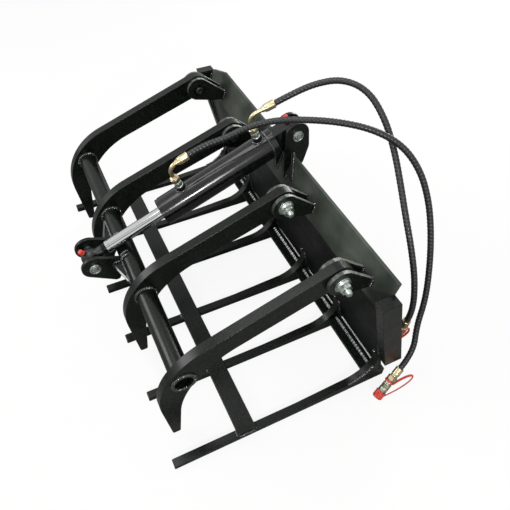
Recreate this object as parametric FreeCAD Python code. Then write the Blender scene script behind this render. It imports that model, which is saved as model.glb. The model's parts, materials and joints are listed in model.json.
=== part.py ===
import FreeCAD, Part
import math
import os

from FreeCAD import Vector

# Grapple bucket: a fork of six tines under a four-armed jaw that one ram opens.
# X runs across the bucket, Y from the tine tips (low) to the mounting side (high), Z is up.
# Every length is in millimetres and every angle in degrees.

# The fork
TINE_COUNT = 6
TINE_PITCH = 236.0
TINE_WIDTH = 25.0
TINE_HEIGHT = 19.0
TINE_TIP_Y = -375.0
TINE_TIP_ROUND = 4.0
TINE_TAPER_Y = 40.0
TINE_ROOT_HEIGHT = 31.0
TINE_FILLET = 100.0
TINE_HEEL_Y = 360.0
TINE_HEEL_HEIGHT = 35.0
CROSSBAR_Y = -139.5
CROSSBAR_DEPTH = 59.0
CROSSBAR_HEIGHT = 16.0
CROSSBAR_INSET = 2.0

# The mounting plate, bent along one line across the bucket
PLATE_THICKNESS = 10.0
PLATE_BOTTOM_Z = 49.0
FOLD_Y = 252.0
FOLD_Z = 415.0
FOLD_ROUND = 14.0
PLATE_TOP_Z = 529.0
UPPER_LEAN = 14.7
LOWER_LEAN = 12.5
CHAMFER_ACROSS = 95.0
CHAMFER_DOWN = 34.0
STRIP_THICKNESS = 10.0
STRIP_DEPTH = 53.0

# What the carrier's coupler takes hold of, behind the plate
LIP_HALF_WIDTH = 560.0
LIP_TOP_Z = 487.0
LIP_DROP = 57.0
LIP_REACH = 34.0
LIP_THICKNESS = 10.0
LATCH_HALF_WIDTH = 540.0
LATCH_THICKNESS = 10.0
LATCH_REAR_Y = 438.0
LATCH_SLOT_EDGE = 28.0
LATCH_SLOT_LENGTH = 64.0
LATCH_SLOT_WIDTH = 34.0
LATCH_SLOT_Y = 396.0

# The end posts, leaning box sections outside the plate's two ends, cut level at top and foot
POST_WIDTH = 35.0
POST_DEPTH = 60.0
POST_WALL = 4.0
POST_TOP_Z = 494.0
POST_FOOT_Z = 146.0
POST_CAP = 5.0
POST_LEAN = 15.2
POST_MIDDLE_Y = 293.6
POST_MIDDLE_Z = 322.0

# The jaw's pivots
PIVOT_Y = 162.0
PIVOT_Z = 510.0
ARM_X = (-498.0, -185.0, 185.0, 498.0)
ARM_THICKNESS = 30.0
EAR_THICKNESS = 12.7
EAR_SIDE_GAP = 1.5
EAR_RADIUS = 42.0
EAR_TAIL_Z = 476.0
EAR_HEEL_Z = 446.0
EAR_ELBOW = (226.0, 449.0)
BOLT_RADIUS = 10.0
BUSH_RADIUS = 15.0
BUSH_PROUD = 1.2
RUNNING_GAP = 0.05
WASHER_RADIUS = 25.0
WASHER_THICKNESS = 4.0
NUT_FLATS = 32.0
NUT_HEIGHT = 20.0
NUT_FLANGE_RADIUS = 22.5
NUT_FLANGE_HEIGHT = 5.0
BOLT_END = 15.0
HEAD_RADIUS = 13.5
HEAD_HEIGHT = 8.0

# The jaw's arms
BOSS_RADIUS = 47.0
ARM_TOP_ANGLE = 19.5
ARM_UNDER_ANGLE = 18.3
ARM_UNDER_OFFSET = 29.9
CLAW_FRONT = ((-363.0, 206.0), (-341.5, 13.0))
CLAW_INNER = ((-300.0, 235.0), (-322.0, 13.0))
CLAW_TIP_Z = 35.0
CLAW_TIP_ROUND = 7.0
ARM_OUTER_ROUND = 215.0
ARM_INNER_ROUND = 260.0
PIPE_Y = -287.0
PIPE_Z = 318.0
PIPE_RADIUS = 30.15
PIPE_WALL = 4.0
PIPE_PROUD = 5.0

# The ram: its front pin, its rear pin and what lies between them
FRONT_PIN_Y = -398.0
FRONT_PIN_Z = 332.0
REAR_PIN_Y = 291.0
REAR_PIN_Z = 606.0
PIN_RADIUS = 12.7
PIN_HEAD_RADIUS = 18.0
PIN_HEAD_HEIGHT = 8.0
PIN_TAIL = 12.0
CLIP_RADIUS = 2.5
CLIP_LENGTH = 44.0
CLEVIS_INSIDE = 37.0
CLEVIS_THICKNESS = 12.0
CLEVIS_RADIUS = 40.0
CLEVIS_DIP = (44.0, 24.0)
CLEVIS_DIP_ROUND = 30.0
CLEVIS_SADDLE = (22.0, 19.0)
CLEVIS_ROOT = 20.0
CLEVIS_HEEL = (46.0, 70.0)
CLEVIS_TOE = (12.0, 1.0)
GUSSET_THICKNESS = 10.0
GUSSET_SIDE = 58.0
GUSSET_ALONG = 92.0
GUSSET_RISE = 6.0
REAR_EAR_INSIDE = 22.0
REAR_EAR_THICKNESS = 12.0
REAR_EAR_RADIUS = 42.0
REAR_EAR_FOOT = 24.0
REAR_EAR_FRONT_KNEE = (6.0, 44.0)
REAR_EAR_BACK_KNEE = (48.0, 52.0)
REAR_EAR_BACK_HIP = (32.0, 35.0)
REAR_EAR_BACK_FOOT = 12.0
REAR_EAR_KNEE_ROUND = 30.0
REAR_EAR_BACK_ROUND = 60.0
REAR_BRACE_TOP_Z = 545.0
REAR_BRACE_FOOT_Z = 466.0
REAR_BRACE_REACH = 38.0
REAR_BRACE_THICKNESS = 10.0
BARREL_RADIUS = 45.0
BORE_RADIUS = 38.1
ROD_RADIUS = 20.0
GLAND_FRONT = 262.0
GLAND_LIP = 10.0
GLAND_LENGTH = 45.0
GLAND_LIP_RADIUS = 43.0
WIPER_RADIUS = 26.0
WIPER_DEPTH = 6.0
BARREL_REAR = 676.0
CAP_THICKNESS = 22.0
BASE_EYE_RADIUS = 36.0
BASE_BUSH_RADIUS = 17.0
EYE_BALL_RADIUS = 30.0
EYE_HALF_WIDTH = 24.0
EYE_SLOT_LENGTH = 48.0
EYE_SLOT_WIDTH = 40.0
EYE_SLOT_ROUND = 14.0
EYE_NECK_RADIUS = 17.5
EYE_NECK_END = 44.0
EYE_SOCKET_START = 28.0
NECK_RADIUS = 14.0
COLLAR_RADIUS = 19.0
COLLAR_LENGTH = 14.0
PISTON_FRONT = 375.0
PISTON_LENGTH = 38.0
PISTON_GAP = 0.35
SEAL_GAP = 0.15
SEAL_WIDTH = 8.0
SEAL_DEPTH = 5.0
SLIDE_GAP = 0.3

# Ports on the ram and the hose ends that lead from them
ROD_PORT = 355.0
BASE_PORT = 630.0
PORT_BOSS_RADIUS = 16.0
PORT_BOSS_TOP = 57.0
PORT_DRILL_RADIUS = 6.0
ADAPTER_RADIUS = 13.5
ADAPTER_TOP = 80.0
SWIVEL_FLATS = 27.0
SWIVEL_TOP = 99.0
ELBOW_TUBE_RADIUS = 6.5
ELBOW_BEND = 30.0
ELBOW_HEIGHT = 139.0
ROD_FERRULE_START = 36.0
BASE_FERRULE_START = 54.0
BASE_SWIVEL_ANGLE = 7.0
FERRULE_LENGTH = 34.0
FERRULE_RADIUS = 13.0
HOSE_RADIUS = 9.5
NIPPLE_RADIUS = 4.0
NIPPLE_HEIGHT = 12.0
GREASE_CAP_RADIUS = 9.0
GREASE_CAP_START = 4.0
GREASE_CAP_HEIGHT = 15.0
ROD_GREASE_LEAN = 35.0
BASE_GREASE_LEAN = 26.0
BASE_GREASE_X = -12.0

# The couplers on the hoses' free ends
COUPLER_NUT_FLATS = 27.0
COUPLER_NUT_LENGTH = 16.0
COUPLER_RADIUS = 14.0
COUPLER_LENGTH = 46.0
COUPLER_NOSE_RADIUS = 11.0
COUPLER_NOSE_LENGTH = 22.0
DUST_CAP_RADIUS = 16.5
DUST_CAP_WALL = 3.0
DUST_CAP_LENGTH = 32.0
DUST_CAP_GAP = 0.3
STRAP_BAND = 7.0
STRAP_THICKNESS = 2.5
STRAP_RADIUS = 2.0
STRAP_BULGE = 24.0
STRAP_SIDE = Vector(0.44, 0.9, 0)

# Route of each hose, laid by hand so that it hangs as the real one does
HOSE_LEAD = 50.0
HOSE_A_ROUTE = (
    (41, 327, 779), (90, 384, 807), (157, 425, 801), (230, 443, 750), (294, 446, 686),
    (359, 437, 622), (427, 423, 559), (492, 415, 492), (548, 411, 408), (585, 404, 315),
    (580, 402, 262),
)
HOSE_B_ROUTE = (
    (19, 56, 657), (39, 120, 692), (79, 187, 721), (138, 257, 740), (197, 325, 750),
    (255, 391, 745), (311, 453, 714), (366, 492, 652), (420, 506, 572), (472, 501, 487),
    (520, 488, 398), (564, 468, 308), (592, 441, 226), (637, 417, 151), (650, 370, 108),
)

# Sizes that follow from the ones above
HALF_WIDTH = ((TINE_COUNT - 1) * TINE_PITCH + TINE_WIDTH) / 2
TINE_X = [(index - (TINE_COUNT - 1) / 2) * TINE_PITCH for index in range(TINE_COUNT)]
EAR_INSIDE = ARM_THICKNESS / 2 + EAR_SIDE_GAP
EAR_OUTSIDE = EAR_INSIDE + EAR_THICKNESS
CLEVIS_OUTSIDE = CLEVIS_INSIDE + CLEVIS_THICKNESS
REAR_EAR_OUTSIDE = REAR_EAR_INSIDE + REAR_EAR_THICKNESS
PIN_BORE = PIN_RADIUS + RUNNING_GAP
BOLT_BORE = BOLT_RADIUS + RUNNING_GAP
LOWER_SLOPE = math.tan(math.radians(LOWER_LEAN))
UPPER_SLOPE = math.tan(math.radians(UPPER_LEAN))
UPPER_STEP = PLATE_THICKNESS / math.cos(math.radians(UPPER_LEAN))
LOWER_STEP = PLATE_THICKNESS / math.cos(math.radians(LOWER_LEAN))
RAM_LENGTH = math.hypot(REAR_PIN_Y - FRONT_PIN_Y, REAR_PIN_Z - FRONT_PIN_Z)
RAM_ANGLE = math.degrees(math.atan2(REAR_PIN_Z - FRONT_PIN_Z, REAR_PIN_Y - FRONT_PIN_Y))
FRONT_PIN = Vector(0, FRONT_PIN_Y, FRONT_PIN_Z)
REAR_PIN = Vector(0, REAR_PIN_Y, REAR_PIN_Z)
ALONG = (REAR_PIN - FRONT_PIN).normalize()
ABOVE = Vector(0, -ALONG.z, ALONG.y)
ACROSS = Vector(1, 0, 0)
UP = Vector(0, 0, 1)
BIG = 4 * HALF_WIDTH


def lower_front(z):
    """Where the lower panel's front face stands at a height."""
    return FOLD_Y + LOWER_SLOPE * (FOLD_Z - z)


def upper_front(z):
    """Where the upper panel's front face stands at a height."""
    return FOLD_Y + UPPER_SLOPE * (z - FOLD_Z)


def on_ram(distance, height=0.0):
    """A point of the ram: distance from its front pin, height above its axis."""
    return FRONT_PIN + ALONG * distance + ABOVE * height


def flat(y, z):
    return Vector(0, y, z)


def touch(centre, radius, point, side):
    """Where the straight line from a point touches a circle; side is 1 or -1."""
    offset = (point[0] - centre[0], point[1] - centre[1])
    angle = math.atan2(offset[1], offset[0])
    angle += side * math.acos(radius / math.hypot(*offset))
    return (centre[0] + radius * math.cos(angle), centre[1] + radius * math.sin(angle))


def crossing(point, angle, other, other_angle):
    """Where two lines meet, each given by a point and its angle from the Y axis."""
    direction = (math.cos(math.radians(angle)), math.sin(math.radians(angle)))
    second = (math.cos(math.radians(other_angle)), math.sin(math.radians(other_angle)))
    gap = (other[0] - point[0], other[1] - point[1])
    turn = direction[0] * second[1] - direction[1] * second[0]
    reach = (gap[0] * second[1] - gap[1] * second[0]) / turn
    return (point[0] + reach * direction[0], point[1] + reach * direction[1])


def angle_between(start, end):
    return math.degrees(math.atan2(end[1] - start[1], end[0] - start[0]))


def outline(nodes):
    """A closed outline in the YZ plane.

    Each node is (y, z) for a sharp corner, (y, z, radius) for a rounded one, or
    ("by", y, z) for a point that the arc between its two neighbours passes.
    """
    count = len(nodes)
    entry = {}
    leave = {}
    rounds = {}
    for index, node in enumerate(nodes):
        if node[0] == "by":
            continue
        here = flat(node[0], node[1])
        entry[index] = here
        leave[index] = here
        if len(node) == 3:
            before = nodes[index - 1]
            after = nodes[(index + 1) % count]
            back = (flat(before[0], before[1]) - here).normalize()
            ahead = (flat(after[0], after[1]) - here).normalize()
            half = back.getAngle(ahead) / 2
            reach = node[2] / math.tan(half)
            middle = (back + ahead).normalize() * (node[2] / math.sin(half) - node[2])
            entry[index] = here + back * reach
            leave[index] = here + ahead * reach
            rounds[index] = here + middle
    edges = []
    for index, node in enumerate(nodes):
        if node[0] == "by":
            start = leave[index - 1]
            end = entry[(index + 1) % count]
            edges.append(Part.Arc(start, flat(node[1], node[2]), end).toShape())
            continue
        if index in rounds:
            edges.append(Part.Arc(entry[index], rounds[index], leave[index]).toShape())
        follower = (index + 1) % count
        if nodes[follower][0] != "by" and leave[index].distanceToPoint(entry[follower]) > 1e-6:
            edges.append(Part.LineSegment(leave[index], entry[follower]).toShape())
    return Part.Wire(edges)


def plate(nodes, low_x, high_x):
    """A flat plate with an outline in YZ, from one X to another."""
    sheet = Part.Face(outline(nodes))
    sheet.translate(Vector(low_x, 0, 0))
    return sheet.extrude(Vector(high_x - low_x, 0, 0))


def block(low, high):
    return Part.makeBox(high[0] - low[0], high[1] - low[1], high[2] - low[2], Vector(*low))


def rod_between(start, end, radius):
    return Part.makeCylinder(radius, (end - start).Length, start, end - start)


def ring_between(start, end, radius, inner):
    return rod_between(start, end, radius).cut(rod_between(start, end, inner))


def bar_across(y, z, low_x, high_x, radius):
    return rod_between(Vector(low_x, y, z), Vector(high_x, y, z), radius)


def hexagon(start, end, flats):
    """A six-sided bar between two points, given by its width across flats."""
    axis = (end - start).normalize()
    side = axis.cross(UP)
    if side.Length < 0.1:
        side = axis.cross(ACROSS)
    side.normalize()
    other = axis.cross(side)
    radius = flats / math.sqrt(3)
    corners = []
    for step in range(7):
        angle = math.radians(60 * step)
        corners.append(start + side * (radius * math.cos(angle)) + other * (radius * math.sin(angle)))
    return Part.Face(Part.makePolygon(corners)).extrude(end - start)


def dome(base, axis, radius, height):
    """A low round head: a short cylinder with a rounded top, turned about its axis."""
    rim = height / 3
    rise = height - rim
    ball_radius = (radius * radius + rise * rise) / (2 * rise)
    lean = math.asin(radius / ball_radius) / 2
    middle = Vector(ball_radius * math.sin(lean), 0, height - ball_radius * (1 - math.cos(lean)))
    corners = [Vector(0, 0, 0), Vector(radius, 0, 0), Vector(radius, 0, rim), Vector(0, 0, height)]
    edges = [
        Part.LineSegment(corners[0], corners[1]).toShape(),
        Part.LineSegment(corners[1], corners[2]).toShape(),
        Part.Arc(corners[2], middle, corners[3]).toShape(),
        Part.LineSegment(corners[3], corners[0]).toShape(),
    ]
    solid = Part.Face(Part.Wire(edges)).revolve(corners[0], UP, 360)
    solid.Placement = FreeCAD.Placement(base, FreeCAD.Rotation(UP, axis))
    return solid


def plate_solid():
    """The mounting plate, bent at the fold, with one top corner cut back."""
    top_y = upper_front(PLATE_TOP_Z)
    bottom_y = lower_front(PLATE_BOTTOM_Z)
    back_angle = 90 - UPPER_LEAN
    lower_angle = 90 + LOWER_LEAN
    top_back = (top_y + UPPER_STEP, PLATE_TOP_Z)
    bottom_back = (bottom_y + LOWER_STEP, PLATE_BOTTOM_Z)
    fold_back = crossing(top_back, back_angle, bottom_back, lower_angle)
    nodes = [
        (bottom_y, PLATE_BOTTOM_Z),
        (FOLD_Y, FOLD_Z, FOLD_ROUND + PLATE_THICKNESS),
        (top_y, PLATE_TOP_Z),
        top_back,
        (fold_back[0], fold_back[1], FOLD_ROUND),
        bottom_back,
    ]
    solid = plate(nodes, -HALF_WIDTH, HALF_WIDTH)
    corner = Vector(-HALF_WIDTH, -BIG / 2, PLATE_TOP_Z)
    cut = Part.makePolygon([
        corner + Vector(-CHAMFER_ACROSS, 0, -2 * CHAMFER_DOWN),
        corner + Vector(CHAMFER_ACROSS, 0, 0),
        corner + Vector(2 * CHAMFER_ACROSS, 0, CHAMFER_DOWN),
        corner + Vector(-CHAMFER_ACROSS, 0, CHAMFER_DOWN),
        corner + Vector(-CHAMFER_ACROSS, 0, -2 * CHAMFER_DOWN),
    ])
    return solid.cut(Part.Face(cut).extrude(Vector(0, BIG, 0)))


def strip_solids():
    """Flat strips along the plate's foot, one in each gap between two tines."""
    top = PLATE_BOTTOM_Z + STRIP_THICKNESS
    nodes = [
        (lower_front(PLATE_BOTTOM_Z), PLATE_BOTTOM_Z),
        (lower_front(top), top),
        (lower_front(top) - STRIP_DEPTH, top),
        (lower_front(top) - STRIP_DEPTH, PLATE_BOTTOM_Z),
    ]
    strips = []
    for left, right in zip(TINE_X, TINE_X[1:]):
        strips.append(plate(nodes, left + TINE_WIDTH / 2, right - TINE_WIDTH / 2))
    return strips


def tine_solid(x):
    """One tine: a flat bar that tapers to its tip and sweeps up into the plate."""
    centre_z = TINE_ROOT_HEIGHT + TINE_FILLET
    lean = math.radians(LOWER_LEAN)
    centre_y = lower_front(centre_z) - TINE_FILLET / math.cos(lean)
    meet = (centre_y + TINE_FILLET * math.cos(lean), centre_z + TINE_FILLET * math.sin(lean))
    half = (lean - math.pi / 2) / 2
    middle = (centre_y + TINE_FILLET * math.cos(half), centre_z + TINE_FILLET * math.sin(half))
    nodes = [
        (TINE_TIP_Y, 0, TINE_TIP_ROUND),
        (TINE_HEEL_Y, 0),
        (TINE_HEEL_Y, TINE_HEEL_HEIGHT),
        (lower_front(PLATE_BOTTOM_Z) + LOWER_STEP, PLATE_BOTTOM_Z),
        (lower_front(PLATE_BOTTOM_Z), PLATE_BOTTOM_Z),
        meet,
        ("by", middle[0], middle[1]),
        (centre_y, TINE_ROOT_HEIGHT),
        (TINE_TAPER_Y, TINE_HEIGHT),
        (TINE_TIP_Y, TINE_HEIGHT, TINE_TIP_ROUND),
    ]
    return plate(nodes, x - TINE_WIDTH / 2, x + TINE_WIDTH / 2)


def crossbar_solid():
    reach = HALF_WIDTH - CROSSBAR_INSET
    low = (-reach, CROSSBAR_Y - CROSSBAR_DEPTH / 2, TINE_HEIGHT)
    high = (reach, CROSSBAR_Y + CROSSBAR_DEPTH / 2, TINE_HEIGHT + CROSSBAR_HEIGHT)
    return block(low, high)


def lip_solids(mount_plate):
    """The sloping lip behind the upper panel, on each side of the ram's rear ears."""
    root_y = upper_front(LIP_TOP_Z) + UPPER_STEP / 2
    foot = (root_y + LIP_REACH, LIP_TOP_Z - LIP_DROP)
    lean = math.radians(angle_between((root_y, LIP_TOP_Z), foot))
    out = (-LIP_THICKNESS * math.sin(lean), LIP_THICKNESS * math.cos(lean))
    nodes = [
        (root_y, LIP_TOP_Z),
        foot,
        (foot[0] + out[0], foot[1] + out[1]),
        (root_y + out[0], LIP_TOP_Z + out[1]),
    ]
    lips = []
    for low, high in ((-LIP_HALF_WIDTH, -REAR_EAR_OUTSIDE), (REAR_EAR_OUTSIDE, LIP_HALF_WIDTH)):
        pieces = plate(nodes, low, high).cut(mount_plate).Solids
        lips.append(max(pieces, key=lambda piece: piece.BoundBox.YMax))
    return lips


def latch_solid():
    """The flat behind the plate's foot, with two slots for the carrier's lock pins."""
    top = PLATE_BOTTOM_Z + LATCH_THICKNESS
    nodes = [
        (lower_front(PLATE_BOTTOM_Z) + LOWER_STEP, PLATE_BOTTOM_Z),
        (LATCH_REAR_Y, PLATE_BOTTOM_Z),
        (LATCH_REAR_Y, top),
        (lower_front(top) + LOWER_STEP, top),
    ]
    latch = plate(nodes, -LATCH_HALF_WIDTH, LATCH_HALF_WIDTH)
    radius = LATCH_SLOT_WIDTH / 2
    straight = LATCH_SLOT_LENGTH - LATCH_SLOT_WIDTH
    for side in (-1, 1):
        x = side * (LATCH_HALF_WIDTH - LATCH_SLOT_EDGE - LATCH_SLOT_LENGTH / 2)
        low = (x - straight / 2, LATCH_SLOT_Y - radius, 0)
        high = (x + straight / 2, LATCH_SLOT_Y + radius, 2 * top)
        latch = latch.cut(block(low, high))
        for end in (-1, 1):
            at = Vector(x + end * straight / 2, LATCH_SLOT_Y, 0)
            latch = latch.cut(Part.makeCylinder(radius, 2 * top, at))
    return latch


def post_slice(side, width, depth, low_z, high_z):
    """The part of a leaning square bar, outside the plate, that lies between two levels."""
    bar = block((-width / 2, -depth / 2, -BIG), (width / 2, depth / 2, BIG))
    bar.rotate(Vector(0, 0, 0), ACROSS, POST_LEAN)
    bar.translate(Vector(side * (HALF_WIDTH + POST_WIDTH / 2), POST_MIDDLE_Y, POST_MIDDLE_Z))
    return bar.common(block((-BIG, -BIG, low_z), (BIG, BIG, high_z)))


def post_solid(side):
    low = POST_FOOT_Z + POST_CAP
    high = POST_TOP_Z - POST_CAP
    tube = post_slice(side, POST_WIDTH, POST_DEPTH, low, high)
    inside = post_slice(side, POST_WIDTH - 2 * POST_WALL, POST_DEPTH - 2 * POST_WALL, low, high)
    return tube.cut(inside)


def post_cap_solids():
    caps = []
    for side in (-1, 1):
        for low in (POST_FOOT_Z, POST_TOP_Z - POST_CAP):
            caps.append(post_slice(side, POST_WIDTH, POST_DEPTH, low, low + POST_CAP))
    return caps


def ear_pair(x, mount_plate):
    """Two ears that hold one arm's pivot, welded by their tails to the plate's upper panel."""
    head = (PIVOT_Y, PIVOT_Z)
    tail = (upper_front(EAR_TAIL_Z), EAR_TAIL_Z)
    heel = (upper_front(EAR_HEEL_Z), EAR_HEEL_Z)
    root_z = (EAR_TAIL_Z + EAR_HEEL_Z) / 2
    upper = touch(head, EAR_RADIUS, tail, 1)
    lower = touch(head, EAR_RADIUS, EAR_ELBOW, -1)
    nose = (PIVOT_Y - EAR_RADIUS, PIVOT_Z)
    nodes = [
        tail,
        upper,
        ("by", nose[0], nose[1]),
        lower,
        EAR_ELBOW,
        heel,
        (upper_front(root_z) + PLATE_THICKNESS / 2, root_z),
    ]
    ears = []
    for low in (x - EAR_OUTSIDE, x + EAR_INSIDE):
        ear = plate(nodes, low, low + EAR_THICKNESS)
        ear = ear.cut(bar_across(PIVOT_Y, PIVOT_Z, low - 1, low + EAR_THICKNESS + 1, BOLT_BORE))
        pieces = ear.cut(mount_plate).Solids
        ears.append(max(pieces, key=lambda piece: piece.Volume))
    return ears


def rear_ear_solid(side, mount_plate):
    """An ear for the ram's rear pin: it straddles the plate's top edge."""
    head = (REAR_PIN_Y, REAR_PIN_Z)
    foot_z = FOLD_Z + REAR_EAR_FOOT
    foot_y = upper_front(foot_z)
    front_knee = (foot_y - REAR_EAR_FRONT_KNEE[0], PLATE_TOP_Z - REAR_EAR_FRONT_KNEE[1])
    back_knee = (REAR_PIN_Y + REAR_EAR_BACK_KNEE[0], REAR_PIN_Z - REAR_EAR_BACK_KNEE[1])
    back_hip = (REAR_PIN_Y + REAR_EAR_BACK_HIP[0], PLATE_TOP_Z - REAR_EAR_BACK_HIP[1])
    front = touch(head, REAR_EAR_RADIUS, front_knee, -1)
    back = touch(head, REAR_EAR_RADIUS, back_knee, 1)
    nodes = [
        back,
        ("by", REAR_PIN_Y, REAR_PIN_Z + REAR_EAR_RADIUS),
        front,
        (front_knee[0], front_knee[1], REAR_EAR_KNEE_ROUND),
        (foot_y, foot_z),
        (foot_y + UPPER_STEP + REAR_EAR_BACK_FOOT, foot_z),
        back_hip,
        (back_knee[0], back_knee[1], REAR_EAR_BACK_ROUND),
    ]
    low = REAR_EAR_INSIDE if side > 0 else -REAR_EAR_OUTSIDE
    ear = plate(nodes, low, low + REAR_EAR_THICKNESS).cut(mount_plate)
    reach = REAR_EAR_OUTSIDE + 1
    ear = ear.cut(bar_across(REAR_PIN_Y, REAR_PIN_Z, -reach, reach, PIN_BORE))
    return max(ear.Solids, key=lambda piece: piece.Volume)


def rear_brace_solid(side):
    """A three-cornered brace that lies on the upper panel against the outside of a rear ear."""
    lean = math.radians(UPPER_LEAN)
    out = Vector(0, -math.cos(lean), math.sin(lean))
    near = side * REAR_EAR_OUTSIDE
    far = side * (REAR_EAR_OUTSIDE + REAR_BRACE_REACH)
    top = Vector(near, upper_front(REAR_BRACE_TOP_Z), REAR_BRACE_TOP_Z)
    foot = Vector(near, upper_front(REAR_BRACE_FOOT_Z), REAR_BRACE_FOOT_Z)
    toe = Vector(far, upper_front(REAR_BRACE_FOOT_Z), REAR_BRACE_FOOT_Z)
    face = Part.Face(Part.makePolygon([top, foot, toe, top]))
    return face.extrude(out * REAR_BRACE_THICKNESS)


def arm_outline():
    """Boss, straight back, rounded shoulder, hooked claw and hollow underside."""
    top = math.radians(90 + ARM_TOP_ANGLE)
    boss_top = (PIVOT_Y + BOSS_RADIUS * math.cos(top), PIVOT_Z + BOSS_RADIUS * math.sin(top))
    under = math.radians(ARM_UNDER_ANGLE - 90) - math.acos(ARM_UNDER_OFFSET / BOSS_RADIUS)
    boss_under = (PIVOT_Y + BOSS_RADIUS * math.cos(under), PIVOT_Z + BOSS_RADIUS * math.sin(under))
    front_angle = angle_between(*CLAW_FRONT)
    inner_angle = angle_between(*CLAW_INNER)
    shoulder = crossing(boss_top, ARM_TOP_ANGLE, CLAW_FRONT[0], front_angle)
    hollow = crossing(boss_under, ARM_UNDER_ANGLE, CLAW_INNER[0], inner_angle)
    tip_front = crossing(CLAW_FRONT[0], front_angle, (0, CLAW_TIP_Z), 0)
    tip_inner = crossing(CLAW_INNER[0], inner_angle, (0, CLAW_TIP_Z), 0)
    return [
        boss_top,
        (shoulder[0], shoulder[1], ARM_OUTER_ROUND),
        (tip_front[0], tip_front[1], CLAW_TIP_ROUND),
        (tip_inner[0], tip_inner[1], CLAW_TIP_ROUND),
        (hollow[0], hollow[1], ARM_INNER_ROUND),
        boss_under,
        ("by", PIVOT_Y + BOSS_RADIUS, PIVOT_Z),
    ]


def arm_solid(x):
    low = x - ARM_THICKNESS / 2
    high = x + ARM_THICKNESS / 2
    arm = plate(arm_outline(), low, high)
    arm = arm.cut(bar_across(PIVOT_Y, PIVOT_Z, low - 1, high + 1, BUSH_RADIUS))
    return arm.cut(bar_across(PIPE_Y, PIPE_Z, low - 1, high + 1, PIPE_RADIUS))


def bush_solids():
    bushes = []
    for x in ARM_X:
        reach = ARM_THICKNESS / 2 + BUSH_PROUD
        start = Vector(x - reach, PIVOT_Y, PIVOT_Z)
        end = Vector(x + reach, PIVOT_Y, PIVOT_Z)
        bushes.append(ring_between(start, end, BUSH_RADIUS, BOLT_BORE))
    return bushes


def pipe_solid():
    reach = ARM_X[-1] + ARM_THICKNESS / 2 + PIPE_PROUD
    start = Vector(-reach, PIPE_Y, PIPE_Z)
    end = Vector(reach, PIPE_Y, PIPE_Z)
    return ring_between(start, end, PIPE_RADIUS, PIPE_RADIUS - PIPE_WALL)


def pivot_fasteners():
    """Bolts, washers and flanged nuts; the inner heads and outer nuts face +X on one half."""
    bolts = []
    washers = []
    nuts = []
    for x in ARM_X:
        nut_side = 1 if x > 0 else -1
        out = Vector(nut_side, 0, 0)
        centre = Vector(x, PIVOT_Y, PIVOT_Z)
        for facing in (out, out * -1):
            face = centre + facing * EAR_OUTSIDE
            washers.append(ring_between(face, face + facing * WASHER_THICKNESS, WASHER_RADIUS, BOLT_BORE))
        seat = EAR_OUTSIDE + WASHER_THICKNESS
        head_face = centre - out * seat
        tip = centre + out * (seat + NUT_HEIGHT + BOLT_END)
        shank = rod_between(head_face, tip, BOLT_RADIUS)
        bolts.append(shank.fuse(dome(head_face, out * -1, HEAD_RADIUS, HEAD_HEIGHT)).removeSplitter())
        nut_face = centre + out * seat
        flange = rod_between(nut_face, nut_face + out * NUT_FLANGE_HEIGHT, NUT_FLANGE_RADIUS)
        body = hexagon(nut_face, nut_face + out * NUT_HEIGHT, NUT_FLATS)
        thread = rod_between(nut_face, nut_face + out * NUT_HEIGHT, BOLT_RADIUS)
        nuts.append(flange.fuse(body).cut(thread).removeSplitter())
    return bolts, washers, nuts


def pin_and_clip(centre, outside):
    """A headed pin across two ears and the wire clip that keeps it in."""
    head_face = centre + ACROSS * outside
    tail = centre - ACROSS * (outside + PIN_TAIL)
    pin = rod_between(tail, head_face, PIN_RADIUS)
    pin = pin.fuse(dome(head_face, ACROSS, PIN_HEAD_RADIUS, PIN_HEAD_HEIGHT))
    hole = centre - ACROSS * (outside + PIN_TAIL / 2)
    half = UP * (CLIP_LENGTH / 2)
    pin = pin.cut(rod_between(hole - half, hole + half, CLIP_RADIUS))
    return pin.removeSplitter(), rod_between(hole - half, hole + half, CLIP_RADIUS)


def clevis_solid(side):
    """A jaw ear for the ram's front pin, coped round the cross pipe."""
    head = (FRONT_PIN_Y, FRONT_PIN_Z)
    saddle_top = (PIPE_Y - CLEVIS_SADDLE[0], PIPE_Z + CLEVIS_SADDLE[1])
    dip = (FRONT_PIN_Y + CLEVIS_DIP[0], FRONT_PIN_Z + CLEVIS_DIP[1])
    heel = (PIPE_Y - CLEVIS_HEEL[0], PIPE_Z - CLEVIS_HEEL[1])
    toe = (heel[0] - CLEVIS_TOE[0], heel[1] - CLEVIS_TOE[1])
    upper = touch(head, CLEVIS_RADIUS, dip, 1)
    lower = touch(head, CLEVIS_RADIUS, toe, -1)
    nodes = [
        upper,
        ("by", FRONT_PIN_Y - CLEVIS_RADIUS, FRONT_PIN_Z),
        lower,
        toe,
        heel,
        (PIPE_Y - CLEVIS_ROOT, PIPE_Z - CLEVIS_ROOT),
        (PIPE_Y, PIPE_Z),
        saddle_top,
        (dip[0], dip[1], CLEVIS_DIP_ROUND),
    ]
    low = CLEVIS_INSIDE if side > 0 else -CLEVIS_OUTSIDE
    reach = CLEVIS_OUTSIDE + 1
    ear = plate(nodes, low, low + CLEVIS_THICKNESS)
    ear = ear.cut(bar_across(PIPE_Y, PIPE_Z, -reach, reach, PIPE_RADIUS))
    ear = ear.cut(bar_across(FRONT_PIN_Y, FRONT_PIN_Z, -reach, reach, PIN_BORE))
    return max(ear.Solids, key=lambda piece: piece.Volume)


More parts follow.
